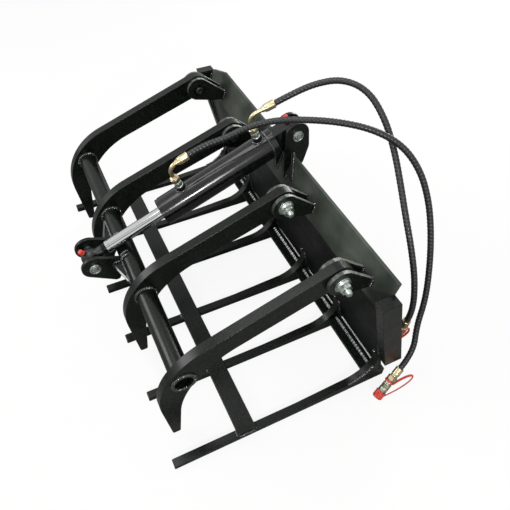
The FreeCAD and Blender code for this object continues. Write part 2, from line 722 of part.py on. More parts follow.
def gusset_solids():
    """A three-cornered brace on each side, from the clevis ear to the cross pipe."""
    gussets = []
    pipe = bar_across(PIPE_Y, PIPE_Z, -BIG / 2, BIG / 2, PIPE_RADIUS)
    low_z = PIPE_Z + GUSSET_RISE - GUSSET_THICKNESS / 2
    for side in (-1, 1):
        near = side * CLEVIS_OUTSIDE
        far = side * (CLEVIS_OUTSIDE + GUSSET_ALONG)
        corners = [
            Vector(near, PIPE_Y - GUSSET_SIDE, low_z),
            Vector(near, PIPE_Y, low_z),
            Vector(far, PIPE_Y, low_z),
            Vector(far, PIPE_Y - PIPE_RADIUS + 1, low_z),
            Vector(near, PIPE_Y - GUSSET_SIDE, low_z),
        ]
        sheet = Part.Face(Part.makePolygon(corners)).extrude(UP * GUSSET_THICKNESS)
        pieces = sheet.cut(pipe).Solids
        gussets.append(max(pieces, key=lambda piece: piece.Volume))
    return gussets


def barrel_solids():
    """The ram's outer pieces: tube, gland, wiper, cap, eye and bush."""
    tube_front = GLAND_FRONT + GLAND_LIP
    tube_rear = BARREL_REAR - CAP_THICKNESS
    tube = ring_between(on_ram(tube_front), on_ram(tube_rear), BARREL_RADIUS, BORE_RADIUS)
    for place in (ROD_PORT, BASE_PORT):
        tube = tube.cut(rod_between(on_ram(place), on_ram(place, BIG), PORT_DRILL_RADIUS))
    slide = ROD_RADIUS + SLIDE_GAP
    lip = rod_between(on_ram(GLAND_FRONT), on_ram(tube_front), GLAND_LIP_RADIUS)
    body = rod_between(on_ram(tube_front), on_ram(GLAND_FRONT + GLAND_LENGTH), BORE_RADIUS)
    gland = lip.fuse(body)
    gland = gland.cut(rod_between(on_ram(GLAND_FRONT - 1), on_ram(GLAND_FRONT + GLAND_LENGTH + 1), slide))
    pocket = rod_between(on_ram(GLAND_FRONT), on_ram(GLAND_FRONT + WIPER_DEPTH), WIPER_RADIUS)
    gland = gland.cut(pocket).removeSplitter()
    wiper = ring_between(on_ram(GLAND_FRONT), on_ram(GLAND_FRONT + WIPER_DEPTH), WIPER_RADIUS, slide)
    cap = rod_between(on_ram(tube_rear), on_ram(BARREL_REAR), BARREL_RADIUS)
    eye_half = REAR_EAR_INSIDE - 1
    tongue = block((-eye_half, -BIG, -BASE_EYE_RADIUS), (eye_half, 0, BASE_EYE_RADIUS))
    tongue.rotate(Vector(0, 0, 0), ACROSS, RAM_ANGLE)
    tongue.translate(REAR_PIN)
    keep = rod_between(on_ram(BARREL_REAR), on_ram(BARREL_REAR + BIG), BARREL_RADIUS)
    eye = bar_across(REAR_PIN_Y, REAR_PIN_Z, -eye_half, eye_half, BASE_EYE_RADIUS)
    eye = eye.fuse(tongue.common(keep))
    eye = eye.cut(bar_across(REAR_PIN_Y, REAR_PIN_Z, -BIG, BIG, BASE_BUSH_RADIUS)).removeSplitter()
    start = REAR_PIN - ACROSS * eye_half
    end = REAR_PIN + ACROSS * eye_half
    bush = ring_between(start, end, BASE_BUSH_RADIUS, PIN_BORE)
    return {
        "barrel_tube": [tube],
        "rod_gland": [gland],
        "rod_wiper": [wiper],
        "base_cap": [cap],
        "base_eye": [eye],
        "base_bush": [bush],
    }


def rod_solids():
    """The ram's inner pieces: rod, piston, seal, ball eye and lock collar."""
    rod_front = EYE_NECK_END + COLLAR_LENGTH
    neck = rod_between(on_ram(EYE_SOCKET_START), on_ram(rod_front), NECK_RADIUS)
    rod = neck.fuse(rod_between(on_ram(rod_front), on_ram(PISTON_FRONT), ROD_RADIUS))
    tail = PISTON_FRONT + PISTON_LENGTH
    rod = rod.fuse(rod_between(on_ram(PISTON_FRONT), on_ram(tail), NECK_RADIUS)).removeSplitter()
    piston = ring_between(on_ram(PISTON_FRONT), on_ram(tail), BORE_RADIUS - PISTON_GAP, NECK_RADIUS)
    groove_start = PISTON_FRONT + (PISTON_LENGTH - SEAL_WIDTH) / 2
    groove_inner = BORE_RADIUS - SEAL_DEPTH
    start = on_ram(groove_start)
    end = on_ram(groove_start + SEAL_WIDTH)
    piston = piston.cut(ring_between(start, end, BORE_RADIUS, groove_inner))
    seal = ring_between(start, end, BORE_RADIUS - SEAL_GAP, groove_inner)
    ball = Part.makeSphere(EYE_BALL_RADIUS, FRONT_PIN)
    slab = block((-EYE_HALF_WIDTH, -BIG, -BIG), (EYE_HALF_WIDTH, BIG, BIG))
    eye = ball.common(slab).fuse(rod_between(FRONT_PIN, on_ram(EYE_NECK_END), EYE_NECK_RADIUS))
    corners = []
    for turn_y, turn_z in ((-1, -1), (1, -1), (1, 1), (-1, 1)):
        corners.append((turn_y * EYE_SLOT_LENGTH / 2, turn_z * EYE_SLOT_WIDTH / 2, EYE_SLOT_ROUND))
    slot = plate(corners, -BIG, BIG)
    slot.rotate(Vector(0, 0, 0), ACROSS, RAM_ANGLE)
    slot.translate(FRONT_PIN)
    eye = eye.cut(slot)
    eye = eye.cut(rod_between(on_ram(EYE_SOCKET_START), on_ram(EYE_NECK_END), NECK_RADIUS))
    collar = ring_between(on_ram(EYE_NECK_END), on_ram(rod_front), COLLAR_RADIUS, NECK_RADIUS)
    return {
        "piston_rod": [rod],
        "piston": [piston],
        "piston_seal": [seal],
        "rod_eye": [max(eye.Solids, key=lambda piece: piece.Volume)],
        "lock_collar": [collar],
    }


def grease_point(centre, radius, lean, body):
    """A grease nipple standing on a round eye, leaning forward, and its plastic cap."""
    axis = Vector(0, -math.sin(math.radians(lean)), math.cos(math.radians(lean)))
    base = centre + axis * radius
    nipple = rod_between(base - axis * 2, base + axis * NIPPLE_HEIGHT, NIPPLE_RADIUS).cut(body)
    cap_base = base + axis * GREASE_CAP_START
    cap = dome(cap_base, axis, GREASE_CAP_RADIUS, GREASE_CAP_HEIGHT)
    return nipple, cap.cut(nipple)


def elbow_path(place, angle, ferrule_start):
    """The bent tube's line from the swivel nut to its ferrule, and the way that it leaves."""
    away = ALONG * math.cos(math.radians(angle)) + ACROSS * math.sin(math.radians(angle))
    foot = on_ram(place, SWIVEL_TOP)
    knee = on_ram(place, ELBOW_HEIGHT - ELBOW_BEND)
    turn = 1 - math.sqrt(0.5)
    middle = on_ram(place, ELBOW_HEIGHT - ELBOW_BEND * turn) + away * (ELBOW_BEND * turn)
    out = on_ram(place, ELBOW_HEIGHT) + away * ELBOW_BEND
    end = on_ram(place, ELBOW_HEIGHT) + away * ferrule_start
    edges = [
        Part.LineSegment(foot, knee).toShape(),
        Part.Arc(knee, middle, out).toShape(),
        Part.LineSegment(out, end).toShape(),
    ]
    return Part.Wire(edges), end, away


def pipe_along(wire, start, direction, radius):
    """A solid round bar along a path."""
    ring = Part.Wire(Part.makeCircle(radius, start, direction))
    return wire.makePipeShell([ring], True, False)


def port_solids():
    """What screws into the ram's two ports, up to the crimped hose ends."""
    bosses = []
    adapters = []
    swivels = []
    elbows = []
    ferrules = []
    tube = rod_between(on_ram(0), on_ram(RAM_LENGTH), BARREL_RADIUS)
    ports = ((ROD_PORT, 0.0, ROD_FERRULE_START), (BASE_PORT, BASE_SWIVEL_ANGLE, BASE_FERRULE_START))
    for place, angle, ferrule_start in ports:
        boss = rod_between(on_ram(place, BORE_RADIUS), on_ram(place, PORT_BOSS_TOP), PORT_BOSS_RADIUS)
        drill = rod_between(on_ram(place), on_ram(place, BIG), PORT_DRILL_RADIUS)
        bosses.append(boss.cut(tube).cut(drill))
        adapters.append(ring_between(
            on_ram(place, PORT_BOSS_TOP), on_ram(place, ADAPTER_TOP), ADAPTER_RADIUS, PORT_DRILL_RADIUS))
        swivels.append(hexagon(on_ram(place, ADAPTER_TOP), on_ram(place, SWIVEL_TOP), SWIVEL_FLATS))
        path, end, away = elbow_path(place, angle, ferrule_start)
        elbows.append(pipe_along(path, on_ram(place, SWIVEL_TOP), ABOVE, ELBOW_TUBE_RADIUS))
        ferrules.append(rod_between(end, end + away * FERRULE_LENGTH, FERRULE_RADIUS))
    return {
        "port_bosses": bosses,
        "port_adapters": adapters,
        "swivel_nuts": swivels,
        "hose_elbows": elbows,
        "ram_ferrules": ferrules,
    }


def hose_solid(name, place, angle, ferrule_start, route):
    """A hose: straight runs joined by tangent arcs, each as large as its runs allow."""
    away = elbow_path(place, angle, ferrule_start)[2]
    leave = on_ram(place, ELBOW_HEIGHT) + away * (ferrule_start + FERRULE_LENGTH)
    points = [leave, leave + away * HOSE_LEAD] + [Vector(*spot) for spot in route]
    print("   starts", [[round(value, 1) for value in point] for point in points[:2]])
    edges = []
    radii = []
    length = 0.0
    start = points[0]
    for before, here, after in zip(points, points[1:], points[2:]):
        back = before - here
        ahead = after - here
        half_turn = (math.pi - back.getAngle(ahead)) / 2
        reach = 0.45 * min(back.Length, ahead.Length)
        radius = reach / math.tan(half_turn)
        back.normalize()
        ahead.normalize()
        first = here + back * reach
        last = here + ahead * reach
        inward = (back + ahead).normalize() * (radius / math.cos(half_turn) - radius)
        edges.append(Part.LineSegment(start, first).toShape())
        edges.append(Part.Arc(first, here + inward, last).toShape())
        radii.append(radius)
        start = last
    edges.append(Part.LineSegment(start, points[-1]).toShape())
    length = sum(edge.Length for edge in edges)
    path = Part.Wire(edges)
    hose = pipe_along(path, points[0], points[1] - points[0], HOSE_RADIUS)
    expected = math.pi * HOSE_RADIUS ** 2 * length
    print(name, "length", round(length), "tightest", round(min(radii)), "volume share",
          round(hose.Volume / expected, 4), "valid", hose.isValid())
    print("   radii", [round(radius) for radius in radii])
    return hose


def strap_solid(body_start, nose_start, way, cap):
    """The dust cap's strap: a band round the coupler and a loop across to the cap."""
    band_end = body_start + way * STRAP_BAND
    band = ring_between(body_start, band_end, COUPLER_RADIUS + STRAP_THICKNESS, COUPLER_RADIUS)
    side = STRAP_SIDE - way * STRAP_SIDE.dot(way)
    side.normalize()
    start = body_start + way * (STRAP_BAND / 2) + side * (COUPLER_RADIUS + STRAP_THICKNESS / 2)
    end = nose_start + way * (STRAP_BAND + DUST_CAP_GAP) + side * (DUST_CAP_RADIUS - STRAP_RADIUS)
    middle = (start + end) * 0.5 + side * STRAP_BULGE
    arc = Part.Arc(start, middle, end)
    loop = pipe_along(Part.Wire(arc.toShape()), start, arc.tangent(arc.FirstParameter)[0], STRAP_RADIUS)
    loop = loop.cut(rod_between(body_start, nose_start, COUPLER_RADIUS)).cut(cap)
    loop = max(loop.Solids, key=lambda piece: piece.Volume)
    return band.fuse(loop).removeSplitter()


def coupler_solids():
    """Ferrules, nuts, couplers, dust caps and cap straps on the hoses' free ends."""
    pieces = {"coupler_ferrules": [], "coupler_nuts": [], "couplers": [], "dust_caps": [], "cap_straps": []}
    for route in (HOSE_A_ROUTE, HOSE_B_ROUTE):
        start = Vector(*route[-1])
        way = (start - Vector(*route[-2])).normalize()
        nut_start = start + way * FERRULE_LENGTH
        body_start = nut_start + way * COUPLER_NUT_LENGTH
        nose_start = body_start + way * COUPLER_LENGTH
        nose_end = nose_start + way * COUPLER_NOSE_LENGTH
        pieces["coupler_ferrules"].append(rod_between(start, nut_start, FERRULE_RADIUS))
        pieces["coupler_nuts"].append(hexagon(nut_start, body_start, COUPLER_NUT_FLATS))
        body = rod_between(body_start, nose_start, COUPLER_RADIUS)
        nose = rod_between(nose_start, nose_end, COUPLER_NOSE_RADIUS)
        pieces["couplers"].append(body.fuse(nose).removeSplitter())
        cap_start = nose_start + way * DUST_CAP_GAP
        cap = rod_between(cap_start, nose_end + way * (DUST_CAP_GAP + DUST_CAP_WALL), DUST_CAP_RADIUS)
        hollow = rod_between(cap_start, nose_end + way * DUST_CAP_GAP, COUPLER_NOSE_RADIUS + DUST_CAP_GAP)
        pieces["dust_caps"].append(cap.cut(hollow))
        pieces["cap_straps"].append(strap_solid(body_start, nose_start, way, cap))
    return pieces


def build():
    """Every piece of the bucket by the name of its node."""
    mount_plate = plate_solid()
    nodes = {
        "mount_plate": [mount_plate],
        "foot_strips": strip_solids(),
        "coupler_lip": lip_solids(mount_plate),
        "latch_flange": [latch_solid()],
        "end_posts": [post_solid(side) for side in (-1, 1)],
        "end_post_caps": post_cap_solids(),
        "crossbar": [crossbar_solid()],
        "ram_ears": (
            [rear_ear_solid(side, mount_plate) for side in (-1, 1)]
            + [rear_brace_solid(side) for side in (-1, 1)]
        ),
        "arm_bushes": bush_solids(),
        "cross_pipe": [pipe_solid()],
        "clevis_ears": [clevis_solid(side) for side in (-1, 1)],
        "clevis_gussets": gusset_solids(),
    }
    for index, x in enumerate(TINE_X, 1):
        nodes["tine_%d" % index] = [tine_solid(x)]
    for index, x in enumerate(ARM_X, 1):
        nodes["pivot_ears_%d" % index] = ear_pair(x, mount_plate)
        nodes["jaw_arm_%d" % index] = [arm_solid(x)]
    bolts, washers, nuts = pivot_fasteners()
    nodes["pivot_bolts"] = bolts
    nodes["pivot_washers"] = washers
    nodes["pivot_nuts"] = nuts
    front_pin, front_clip = pin_and_clip(FRONT_PIN, CLEVIS_OUTSIDE)
    rear_pin, rear_clip = pin_and_clip(REAR_PIN, REAR_EAR_OUTSIDE)
    nodes["front_pin"] = [front_pin]
    nodes["front_pin_clip"] = [front_clip]
    nodes["rear_pin"] = [rear_pin]
    nodes["rear_pin_clip"] = [rear_clip]
    nodes.update(barrel_solids())
    nodes.update(rod_solids())
    base_centre = REAR_PIN + ACROSS * BASE_GREASE_X
    nipple, cap = grease_point(base_centre, BASE_EYE_RADIUS, BASE_GREASE_LEAN, nodes["base_eye"][0])
    nodes["base_grease_nipple"] = [nipple]
    nodes["base_grease_cap"] = [cap]
    nipple, cap = grease_point(FRONT_PIN, EYE_BALL_RADIUS, ROD_GREASE_LEAN, nodes["rod_eye"][0])
    nodes["rod_grease_nipple"] = [nipple]
    nodes["rod_grease_cap"] = [cap]
    nodes.update(port_solids())
    nodes.update(coupler_solids())
    nodes["hose_a"] = [hose_solid("hose_a", BASE_PORT, BASE_SWIVEL_ANGLE, BASE_FERRULE_START, HOSE_A_ROUTE)]
    nodes["hose_b"] = [hose_solid("hose_b", ROD_PORT, 0.0, ROD_FERRULE_START, HOSE_B_ROUTE)]
    return nodes


os.makedirs("parts", exist_ok=True)
for node_name, solids in build().items():
    shape = solids[0] if len(solids) == 1 else Part.makeCompound(solids)
    bad = [piece for piece in shape.Solids if not piece.isValid() or piece.Volume < 1]
    if bad or not shape.Solids:
        print("PROBLEM in", node_name, len(shape.Solids), len(bad))
    shape.exportStep("parts/%s.step" % node_name)
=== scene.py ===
import json
import math

import bmesh
import bpy
import numpy as np
from mathutils import Matrix, Vector


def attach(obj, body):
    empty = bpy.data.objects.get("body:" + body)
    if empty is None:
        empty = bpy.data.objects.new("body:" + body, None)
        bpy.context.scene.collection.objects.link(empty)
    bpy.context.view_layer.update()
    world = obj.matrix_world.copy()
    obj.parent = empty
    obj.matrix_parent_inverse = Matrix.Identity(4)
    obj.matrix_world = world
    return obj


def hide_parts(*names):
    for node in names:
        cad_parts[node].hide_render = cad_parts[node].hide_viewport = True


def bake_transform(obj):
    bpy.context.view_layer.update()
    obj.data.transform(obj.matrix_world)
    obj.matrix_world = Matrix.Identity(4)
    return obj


# A fork grapple for a compact loader: black paint, bright fasteners, two guarded hoses.
# Outlines and tables are in millimetres; mm() turns them into Blender's metres.

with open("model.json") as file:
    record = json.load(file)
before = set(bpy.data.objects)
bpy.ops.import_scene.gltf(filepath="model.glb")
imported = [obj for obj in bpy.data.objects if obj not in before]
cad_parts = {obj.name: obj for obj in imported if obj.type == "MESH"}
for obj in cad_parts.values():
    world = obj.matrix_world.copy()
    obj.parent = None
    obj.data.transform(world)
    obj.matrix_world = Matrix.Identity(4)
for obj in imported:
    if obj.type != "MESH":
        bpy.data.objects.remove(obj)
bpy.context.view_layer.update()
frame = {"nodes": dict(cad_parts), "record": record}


def mm(*values):
    """Millimetres as metres: one number, or a point as an array."""
    if len(values) == 1:
        return values[0] / 1000.0
    return np.array(values, float) / 1000.0


# Places and sizes that the CAD part has too
TINE_X = [-590, -354, -118, 118, 354, 590]
ARM_X = [-498, -185, 185, 498]
PIVOT = mm(0, 162, 510)
PIPE = mm(0, -287, 318)
FRONT_PIN = mm(0, -398, 332)
REAR_PIN = mm(0, 291, 606)
BARREL_RADIUS = 45.0
BASE_CAP_FRONT = 654
# Each port: its place along the ram, its bent tube's turn in degrees, and its ferrule's start
PORTS = ((355, 0.0, 36), (630, 7.0, 54))
# The ram's own directions: along it toward the rear, square to it and up, and across it
ALONG = (REAR_PIN - FRONT_PIN) / np.linalg.norm(REAR_PIN - FRONT_PIN)
ABOVE = np.array([0, -ALONG[2], ALONG[1]])
ACROSS = np.array([1.0, 0.0, 0.0])
# The mounting plate's fold, and how far each panel leans for a millimetre of height
FOLD_Y = 252
FOLD_Z = 415
LOWER_SLOPE = 0.2217
UPPER_SLOPE = 0.2623

# Each hose's route, as listed control points; the CAD part has the same
HOSE_A_ROUTE = [
    (11, 217, 726), (17, 263, 745), (41, 327, 779), (90, 384, 807), (157, 425, 801),
    (230, 443, 750), (294, 446, 686), (359, 437, 622), (427, 423, 559), (492, 415, 492),
    (548, 411, 408), (585, 404, 315), (580, 402, 262),
]
HOSE_B_ROUTE = [
    (0, -54, 618), (0, -8, 637), (19, 56, 657), (39, 120, 692), (79, 187, 721),
    (138, 257, 740), (197, 325, 750), (255, 391, 745), (311, 453, 714), (366, 492, 652),
    (420, 506, 572), (472, 501, 487), (520, 488, 398), (564, 468, 308), (592, 441, 226),
    (637, 417, 151), (650, 370, 108),
]


def on_ram(distance, height=0.0):
    """A point of the ram in metres: millimetres from its front pin and above its axis."""
    return FRONT_PIN + ALONG * mm(distance) + ABOVE * mm(height)


def plate_front(z):
    """The mounting plate's front face at heights z, all in millimetres."""
    z = np.asarray(z, float)
    return FOLD_Y + np.where(z < FOLD_Z, LOWER_SLOPE * (FOLD_Z - z), UPPER_SLOPE * (z - FOLD_Z))


# Materials


def colour(code):
    """A colour written as an sRGB hex code, as the linear values that Blender wants."""
    parts = [int(code[i:i + 2], 16) / 255 for i in (1, 3, 5)]
    linear = [c / 12.92 if c <= 0.04045 else ((c + 0.055) / 1.055) ** 2.4 for c in parts]
    return (*linear, 1.0)


def per_metre(size_mm):
    """The noise scale whose patches are this many millimetres across."""
    return 1000.0 / size_mm


def add(tree, kind, settings=None, links=None):
    """A shader node, with values set on its sockets or properties and its sockets linked."""
    node = tree.nodes.new("ShaderNode" + kind)
    for name, value in (settings or {}).items():
        if isinstance(name, int) or name in node.inputs:
            node.inputs[name].default_value = value
        else:
            setattr(node, name, value)
    for name, source in (links or {}).items():
        tree.links.new(source, node.inputs[name])
    return node


def finish(name, base, roughness, spots=None, rubbed=None, grain=None, sockets=None):
    """A surface finish from real sizes, on Object coordinates, with the rest set on the shader.

    spots = (second colour, share of the surface, patch size in mm)
    rubbed = (roughness that the rubbed patches add, patch size in mm)
    grain = (height in mm, size in mm)
    """
    made = bpy.data.materials.new(name)
    made.use_nodes = True
    tree = made.node_tree
    shader = tree.nodes["Principled BSDF"]
    plain = {"Base Color": colour(base), "Roughness": roughness, **(sockets or {})}
    for socket, value in plain.items():
        shader.inputs[socket].default_value = value
    place = add(tree, "TexCoord").outputs["Object"]
    if spots:
        code, share, size = spots
        offset = 0.2 * (0.5 - share)
        noise = add(tree, "TexNoise", {"Scale": per_metre(size), "Detail": 6.0}, {"Vector": place})
        chosen = add(tree, "MapRange", {"From Min": 0.44 + offset, "From Max": 0.56 + offset},
                     {"Value": noise.outputs["Fac"]})
        mixed = add(tree, "Mix", {"data_type": "RGBA", 6: colour(base), 7: colour(code)},
                    {0: chosen.outputs["Result"]})
        tree.links.new(mixed.outputs[2], shader.inputs["Base Color"])
    if rubbed:
        more, size = rubbed
        noise = add(tree, "TexNoise", {"Scale": per_metre(size), "Detail": 5.0}, {"Vector": place})
        spread = add(tree, "MapRange", {"From Min": 0.36, "From Max": 0.66, "To Min": roughness,
                                        "To Max": roughness + more}, {"Value": noise.outputs["Fac"]})
        tree.links.new(spread.outputs["Result"], shader.inputs["Roughness"])
    if grain:
        height, size = grain
        noise = add(tree, "TexNoise", {"Scale": per_metre(size), "Detail": 3.0}, {"Vector": place})
        relief = add(tree, "Bump", {"Distance": mm(height), "Strength": 1.0},
                     {"Height": noise.outputs["Fac"]})
        tree.links.new(relief.outputs["Normal"], shader.inputs["Normal"])
    return made


# Gloss black alkyd enamel sprayed over steel: nearly black, deep wet shine, faint settled dust
# and a soft ripple from the gun; real ripple is 3 mm wide and is drawn at 14 mm so that it shows.
ENAMEL = finish("gloss_black_enamel", "#060a07", 0.22, spots=("#161c17", 0.42, 6), rubbed=(0.12, 90),
                grain=(0.035, 14), sockets={"Specular IOR Level": 0.27, "IOR": 1.5})


def plate_finish():
    """The big plate's enamel: near black below the fold, and above it a greenish grey that is a
    painted sheen, since the upper panel leans back and catches reflected light.

    Height over the floor is the Object coordinate's Z, and the change runs over 10 mm at the fold.
    """
    made = finish("overspray_dulled_enamel", "#131715", 0.36, rubbed=(0.15, 70), grain=(0.02, 9),
                  sockets={"Specular IOR Level": 0.16, "IOR": 1.5})
    tree = made.node_tree
    place = add(tree, "TexCoord").outputs["Object"]
    height = add(tree, "SeparateXYZ", None, {"Vector": place}).outputs["Z"]
    above_fold = add(tree, "MapRange", {"From Min": mm(FOLD_Z - 4), "From Max": mm(FOLD_Z + 6)},
                 {"Value": height})
    # soft patches about 130 mm across make both panels lighter and darker in places
    tone_patches = add(tree, "TexNoise", {"Scale": per_metre(130), "Detail": 3.0}, {"Vector": place})
    spread = add(tree, "MapRange", {"From Min": 0.36, "From Max": 0.64},
                 {"Value": tone_patches.outputs["Fac"]})
    # the upper panel's greenish grey is a painted sheen; below the fold stays near black
    above = add(tree, "Mix", {"data_type": "RGBA", 6: colour("#343a34"), 7: colour("#565c54")},
                {0: spread.outputs["Result"]})
    below = add(tree, "Mix", {"data_type": "RGBA", 6: colour("#090c0a"), 7: colour("#131715")},
                {0: spread.outputs["Result"]})
    mixed = add(tree, "Mix", {"data_type": "RGBA"},
                {0: above_fold.outputs["Result"], 6: below.outputs[2], 7: above.outputs[2]})
    tree.links.new(mixed.outputs[2], tree.nodes["Principled BSDF"].inputs["Base Color"])
    return made


# the plate's enamel, with a painted sheen on the upper panel
PLATE_ENAMEL_PAINTED_SHEEN = plate_finish()
# Two-pack black on the bought-in ram: thicker and glossier than the frame's, hardly rippled
RAM_ENAMEL = finish("two_pack_gloss_black", "#0a0b0b", 0.12, spots=("#161817", 0.4, 10),
                    rubbed=(0.08, 60), grain=(0.01, 16),
                    sockets={"Specular IOR Level": 0.45, "IOR": 1.5})
# The same enamel run over rippled weld metal, where it stays thick and wet
WELD_ENAMEL = finish("enamel_over_weld", "#131515", 0.14, spots=("#2a2d2c", 0.35, 4),
                     grain=(0.25, 2.6), sockets={"Specular IOR Level": 1.0, "IOR": 1.5})
# Bright zinc plate, passivated blue-green: pale, satin, with a fine plating grain
ZINC = finish("passivated_zinc", "#ccd4ce", 0.26, spots=("#a4aea7", 0.45, 5), rubbed=(0.14, 12),
              grain=(0.02, 1.5), sockets={"Metallic": 0.95})
# Yellow chromate over zinc on hose ends, swivel nuts and elbows: pale straw gold, blotchy
CHROMATE = finish("yellow_chromate_zinc", "#c8bd9c", 0.3, spots=("#b5a482", 0.4, 14),
                  rubbed=(0.08, 20), sockets={"Metallic": 0.95})
# Grey-green zinc-nickel on the quick couplers
COUPLER_ZINC = finish("zinc_nickel", "#b3b5a1", 0.26, spots=("#8f927f", 0.4, 8), rubbed=(0.15, 10),
                      sockets={"Metallic": 0.95})
# Drawn spring steel of clips and grease nipples
SPRING = finish("drawn_spring_steel", "#a3a5a7", 0.3, spots=("#7f8183", 0.4, 3), rubbed=(0.12, 6),
                sockets={"Metallic": 1.0})
# Turned steel of the piston, hidden in the barrel until it is looked at in section
TURNED = finish("turned_steel", "#9a9b9c", 0.3, rubbed=(0.1, 8), sockets={"Metallic": 1.0})
# Oil-blacked steel of the rod eye: smooth dark grey with a waxy shine
BLACKED = finish("oil_blacked_steel", "#3a3c3a", 0.3, spots=("#2b2d2c", 0.45, 9), rubbed=(0.12, 25),
                 grain=(0.02, 5), sockets={"Metallic": 0.55})
# The lock collar's darker, oily thread
OILED_THREAD = finish("oiled_thread_steel", "#1d1e1f", 0.32, spots=("#323334", 0.35, 3),
                      sockets={"Metallic": 0.7})
# Sintered bronze of the bushes
BRONZE = finish("sintered_bronze", "#a9813f", 0.36, spots=("#8c6a35", 0.45, 2), grain=(0.01, 0.8),
                sockets={"Metallic": 1.0})
# Red soft PVC of the dust caps, straps and grease caps: moulded, pinkish, slightly waxy
RED = finish("red_soft_pvc", "#e24a3e", 0.3, spots=("#cc3a31", 0.45, 11), rubbed=(0.12, 20),
             grain=(0.03, 3), sockets={"IOR": 1.53, "Specular IOR Level": 0.5})
# Black nitrile of the wiper and the piston's seal
NITRILE = finish("nitrile_rubber", "#101111", 0.5, spots=("#1c1d1d", 0.4, 4), grain=(0.02, 1.2))


def guard_finish():
    """Spiral hose guard, black polyethylene strip: grey on its crown, partly a painted highlight on
    each turn, and painted shade, near black, in its gaps.

    The piece's own attribute strip says how far a point is from the gap between two turns: 0 in
    the gap and 1 on the crown.
    """
    made = bpy.data.materials.new("spiral_guard_polyethylene")
    made.use_nodes = True
    tree = made.node_tree
    shader = tree.nodes["Principled BSDF"]
    shader.inputs["Specular IOR Level"].default_value = 0.5
    place = add(tree, "TexCoord").outputs["Object"]
    strip = add(tree, "Attribute", {"attribute_name": "strip"}).outputs["Fac"]
    # patches of about 5 mm break up the grey of the crown
    crown_patches = add(tree, "TexNoise", {"Scale": per_metre(5), "Detail": 6.0}, {"Vector": place})
    crown_patch_share = add(tree, "MapRange", {"From Min": 0.35, "From Max": 0.65, "To Min": 0.35, "To Max": 1.0},
               {"Value": crown_patches.outputs["Fac"]})
    crown = add(tree, "Math", {"operation": "MULTIPLY"}, {0: strip, 1: crown_patch_share.outputs["Result"]})
    # near black is painted shade in the gaps; the crown's grey is partly a painted highlight
    mixed = add(tree, "Mix", {"data_type": "RGBA", 6: colour("#060607"), 7: colour("#2a2c2d")},
                {0: crown.outputs["Value"]})
    tree.links.new(mixed.outputs[2], shader.inputs["Base Color"])
    matt = add(tree, "MapRange", {"To Min": 0.55, "To Max": 0.24}, {"Value": crown.outputs["Value"]})
    tree.links.new(matt.outputs["Result"], shader.inputs["Roughness"])
    return made


GUARD = guard_finish()


def chrome_finish():
    """Hard chrome on the rod: mirror bright, with dark lengthwise bands painted in as reflections.

    The piece's own attribute streak is 1 where the painted reflection is darkest.
    """
    made = finish("hard_chrome", "#c6c7c7", 0.07, rubbed=(0.05, 35), sockets={"Metallic": 1.0})
    tree = made.node_tree
    streak = add(tree, "Attribute", {"attribute_name": "streak"}).outputs["Fac"]
    # the base colour turns grey in the painted reflection bands
    mixed = add(tree, "Mix", {"data_type": "RGBA", 6: colour("#c6c7c7"), 7: colour("#5b5d5e")},
                {0: streak})
    tree.links.new(mixed.outputs[2], tree.nodes["Principled BSDF"].inputs["Base Color"])
    return made


CHROME = chrome_finish()


def cut_edge_finish():
    """The frame's enamel on the pivot ears, with a painted grey highlight on their flame-cut edges.

    The piece's own attribute edge is 0 on the plate's two sides, 1 on the cut faces that look up and
    back toward the lights behind the plate, and 0.25 on the other cut faces; it is the painted
    highlight's share.
    """
    made = finish("enamel_rubbed_on_cut_edges", "#060a07", 0.24, rubbed=(0.12, 60), grain=(0.03, 12),
                  sockets={"Specular IOR Level": 0.35, "IOR": 1.5})
    tree = made.node_tree
    place = add(tree, "TexCoord").outputs["Object"]
    edge = add(tree, "Attribute", {"attribute_name": "edge"}).outputs["Fac"]
    # streaks about 12 mm long break up the painted highlight and the sides' tone
    streaks = add(tree, "TexNoise", {"Scale": per_metre(12), "Detail": 5.0}, {"Vector": place})
    spread = add(tree, "MapRange", {"From Min": 0.36, "From Max": 0.6},
                 {"Value": streaks.outputs["Fac"]})
    # the cut faces' light grey is a painted highlight
    cut = add(tree, "Mix", {"data_type": "RGBA", 6: colour("#6c716b"), 7: colour("#a9aea7")},
              {0: spread.outputs["Result"]})
    side = add(tree, "Mix", {"data_type": "RGBA", 6: colour("#0b0f0c"), 7: colour("#1b211c")},
               {0: spread.outputs["Result"]})
    mixed = add(tree, "Mix", {"data_type": "RGBA"}, {0: edge, 6: side.outputs[2], 7: cut.outputs[2]})
    tree.links.new(mixed.outputs[2], tree.nodes["Principled BSDF"].inputs["Base Color"])
    return made


CUT_EDGE_HIGHLIGHT = cut_edge_finish()

SLOT_MATERIALS = {
    "black_paint": ENAMEL, "bright_zinc": ZINC, "spring_steel": SPRING, "yellow_zinc": CHROMATE,
    "coupler_zinc": COUPLER_ZINC, "hose_rubber": GUARD, "red_plastic": RED, "seal_rubber": NITRILE,
    "bush_bronze": BRONZE, "chromed_rod": CHROME, "machined_steel": TURNED, "dark_steel": BLACKED,
}
SLOT_OF = {row["node"]: row["material_slot"] for row in frame["record"]["subparts"]}
BODIES = frame["record"]["behaviour"]["bodies"]
BODY_OF = {node: body for body, nodes in BODIES.items() for node in nodes}
for node, shown in frame["nodes"].items():
    shown.data.materials.clear()
    shown.data.materials.append(SLOT_MATERIALS[SLOT_OF[node]])


# Surfaces


def piece(name, surface, material, body, sharp):
    """A mesh piece at the origin that rides on a CAD body, shaded smooth up to an angle.

    A surface is its points, its four-cornered faces and its end faces, all as arrays.
    """
    points, quads, ends = surface
    data = bpy.data.meshes.new(name)
    data.from_pydata(points.tolist(), [], quads.tolist() + [end.tolist() for end in ends])
    data.materials.append(material)
    data.validate()
    data.shade_smooth()
    data.set_sharp_from_angle(angle=math.radians(sharp))
    made = bpy.data.objects.new(name, data)
    bpy.context.scene.collection.objects.link(made)
    if body:
        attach(made, body)
    return made


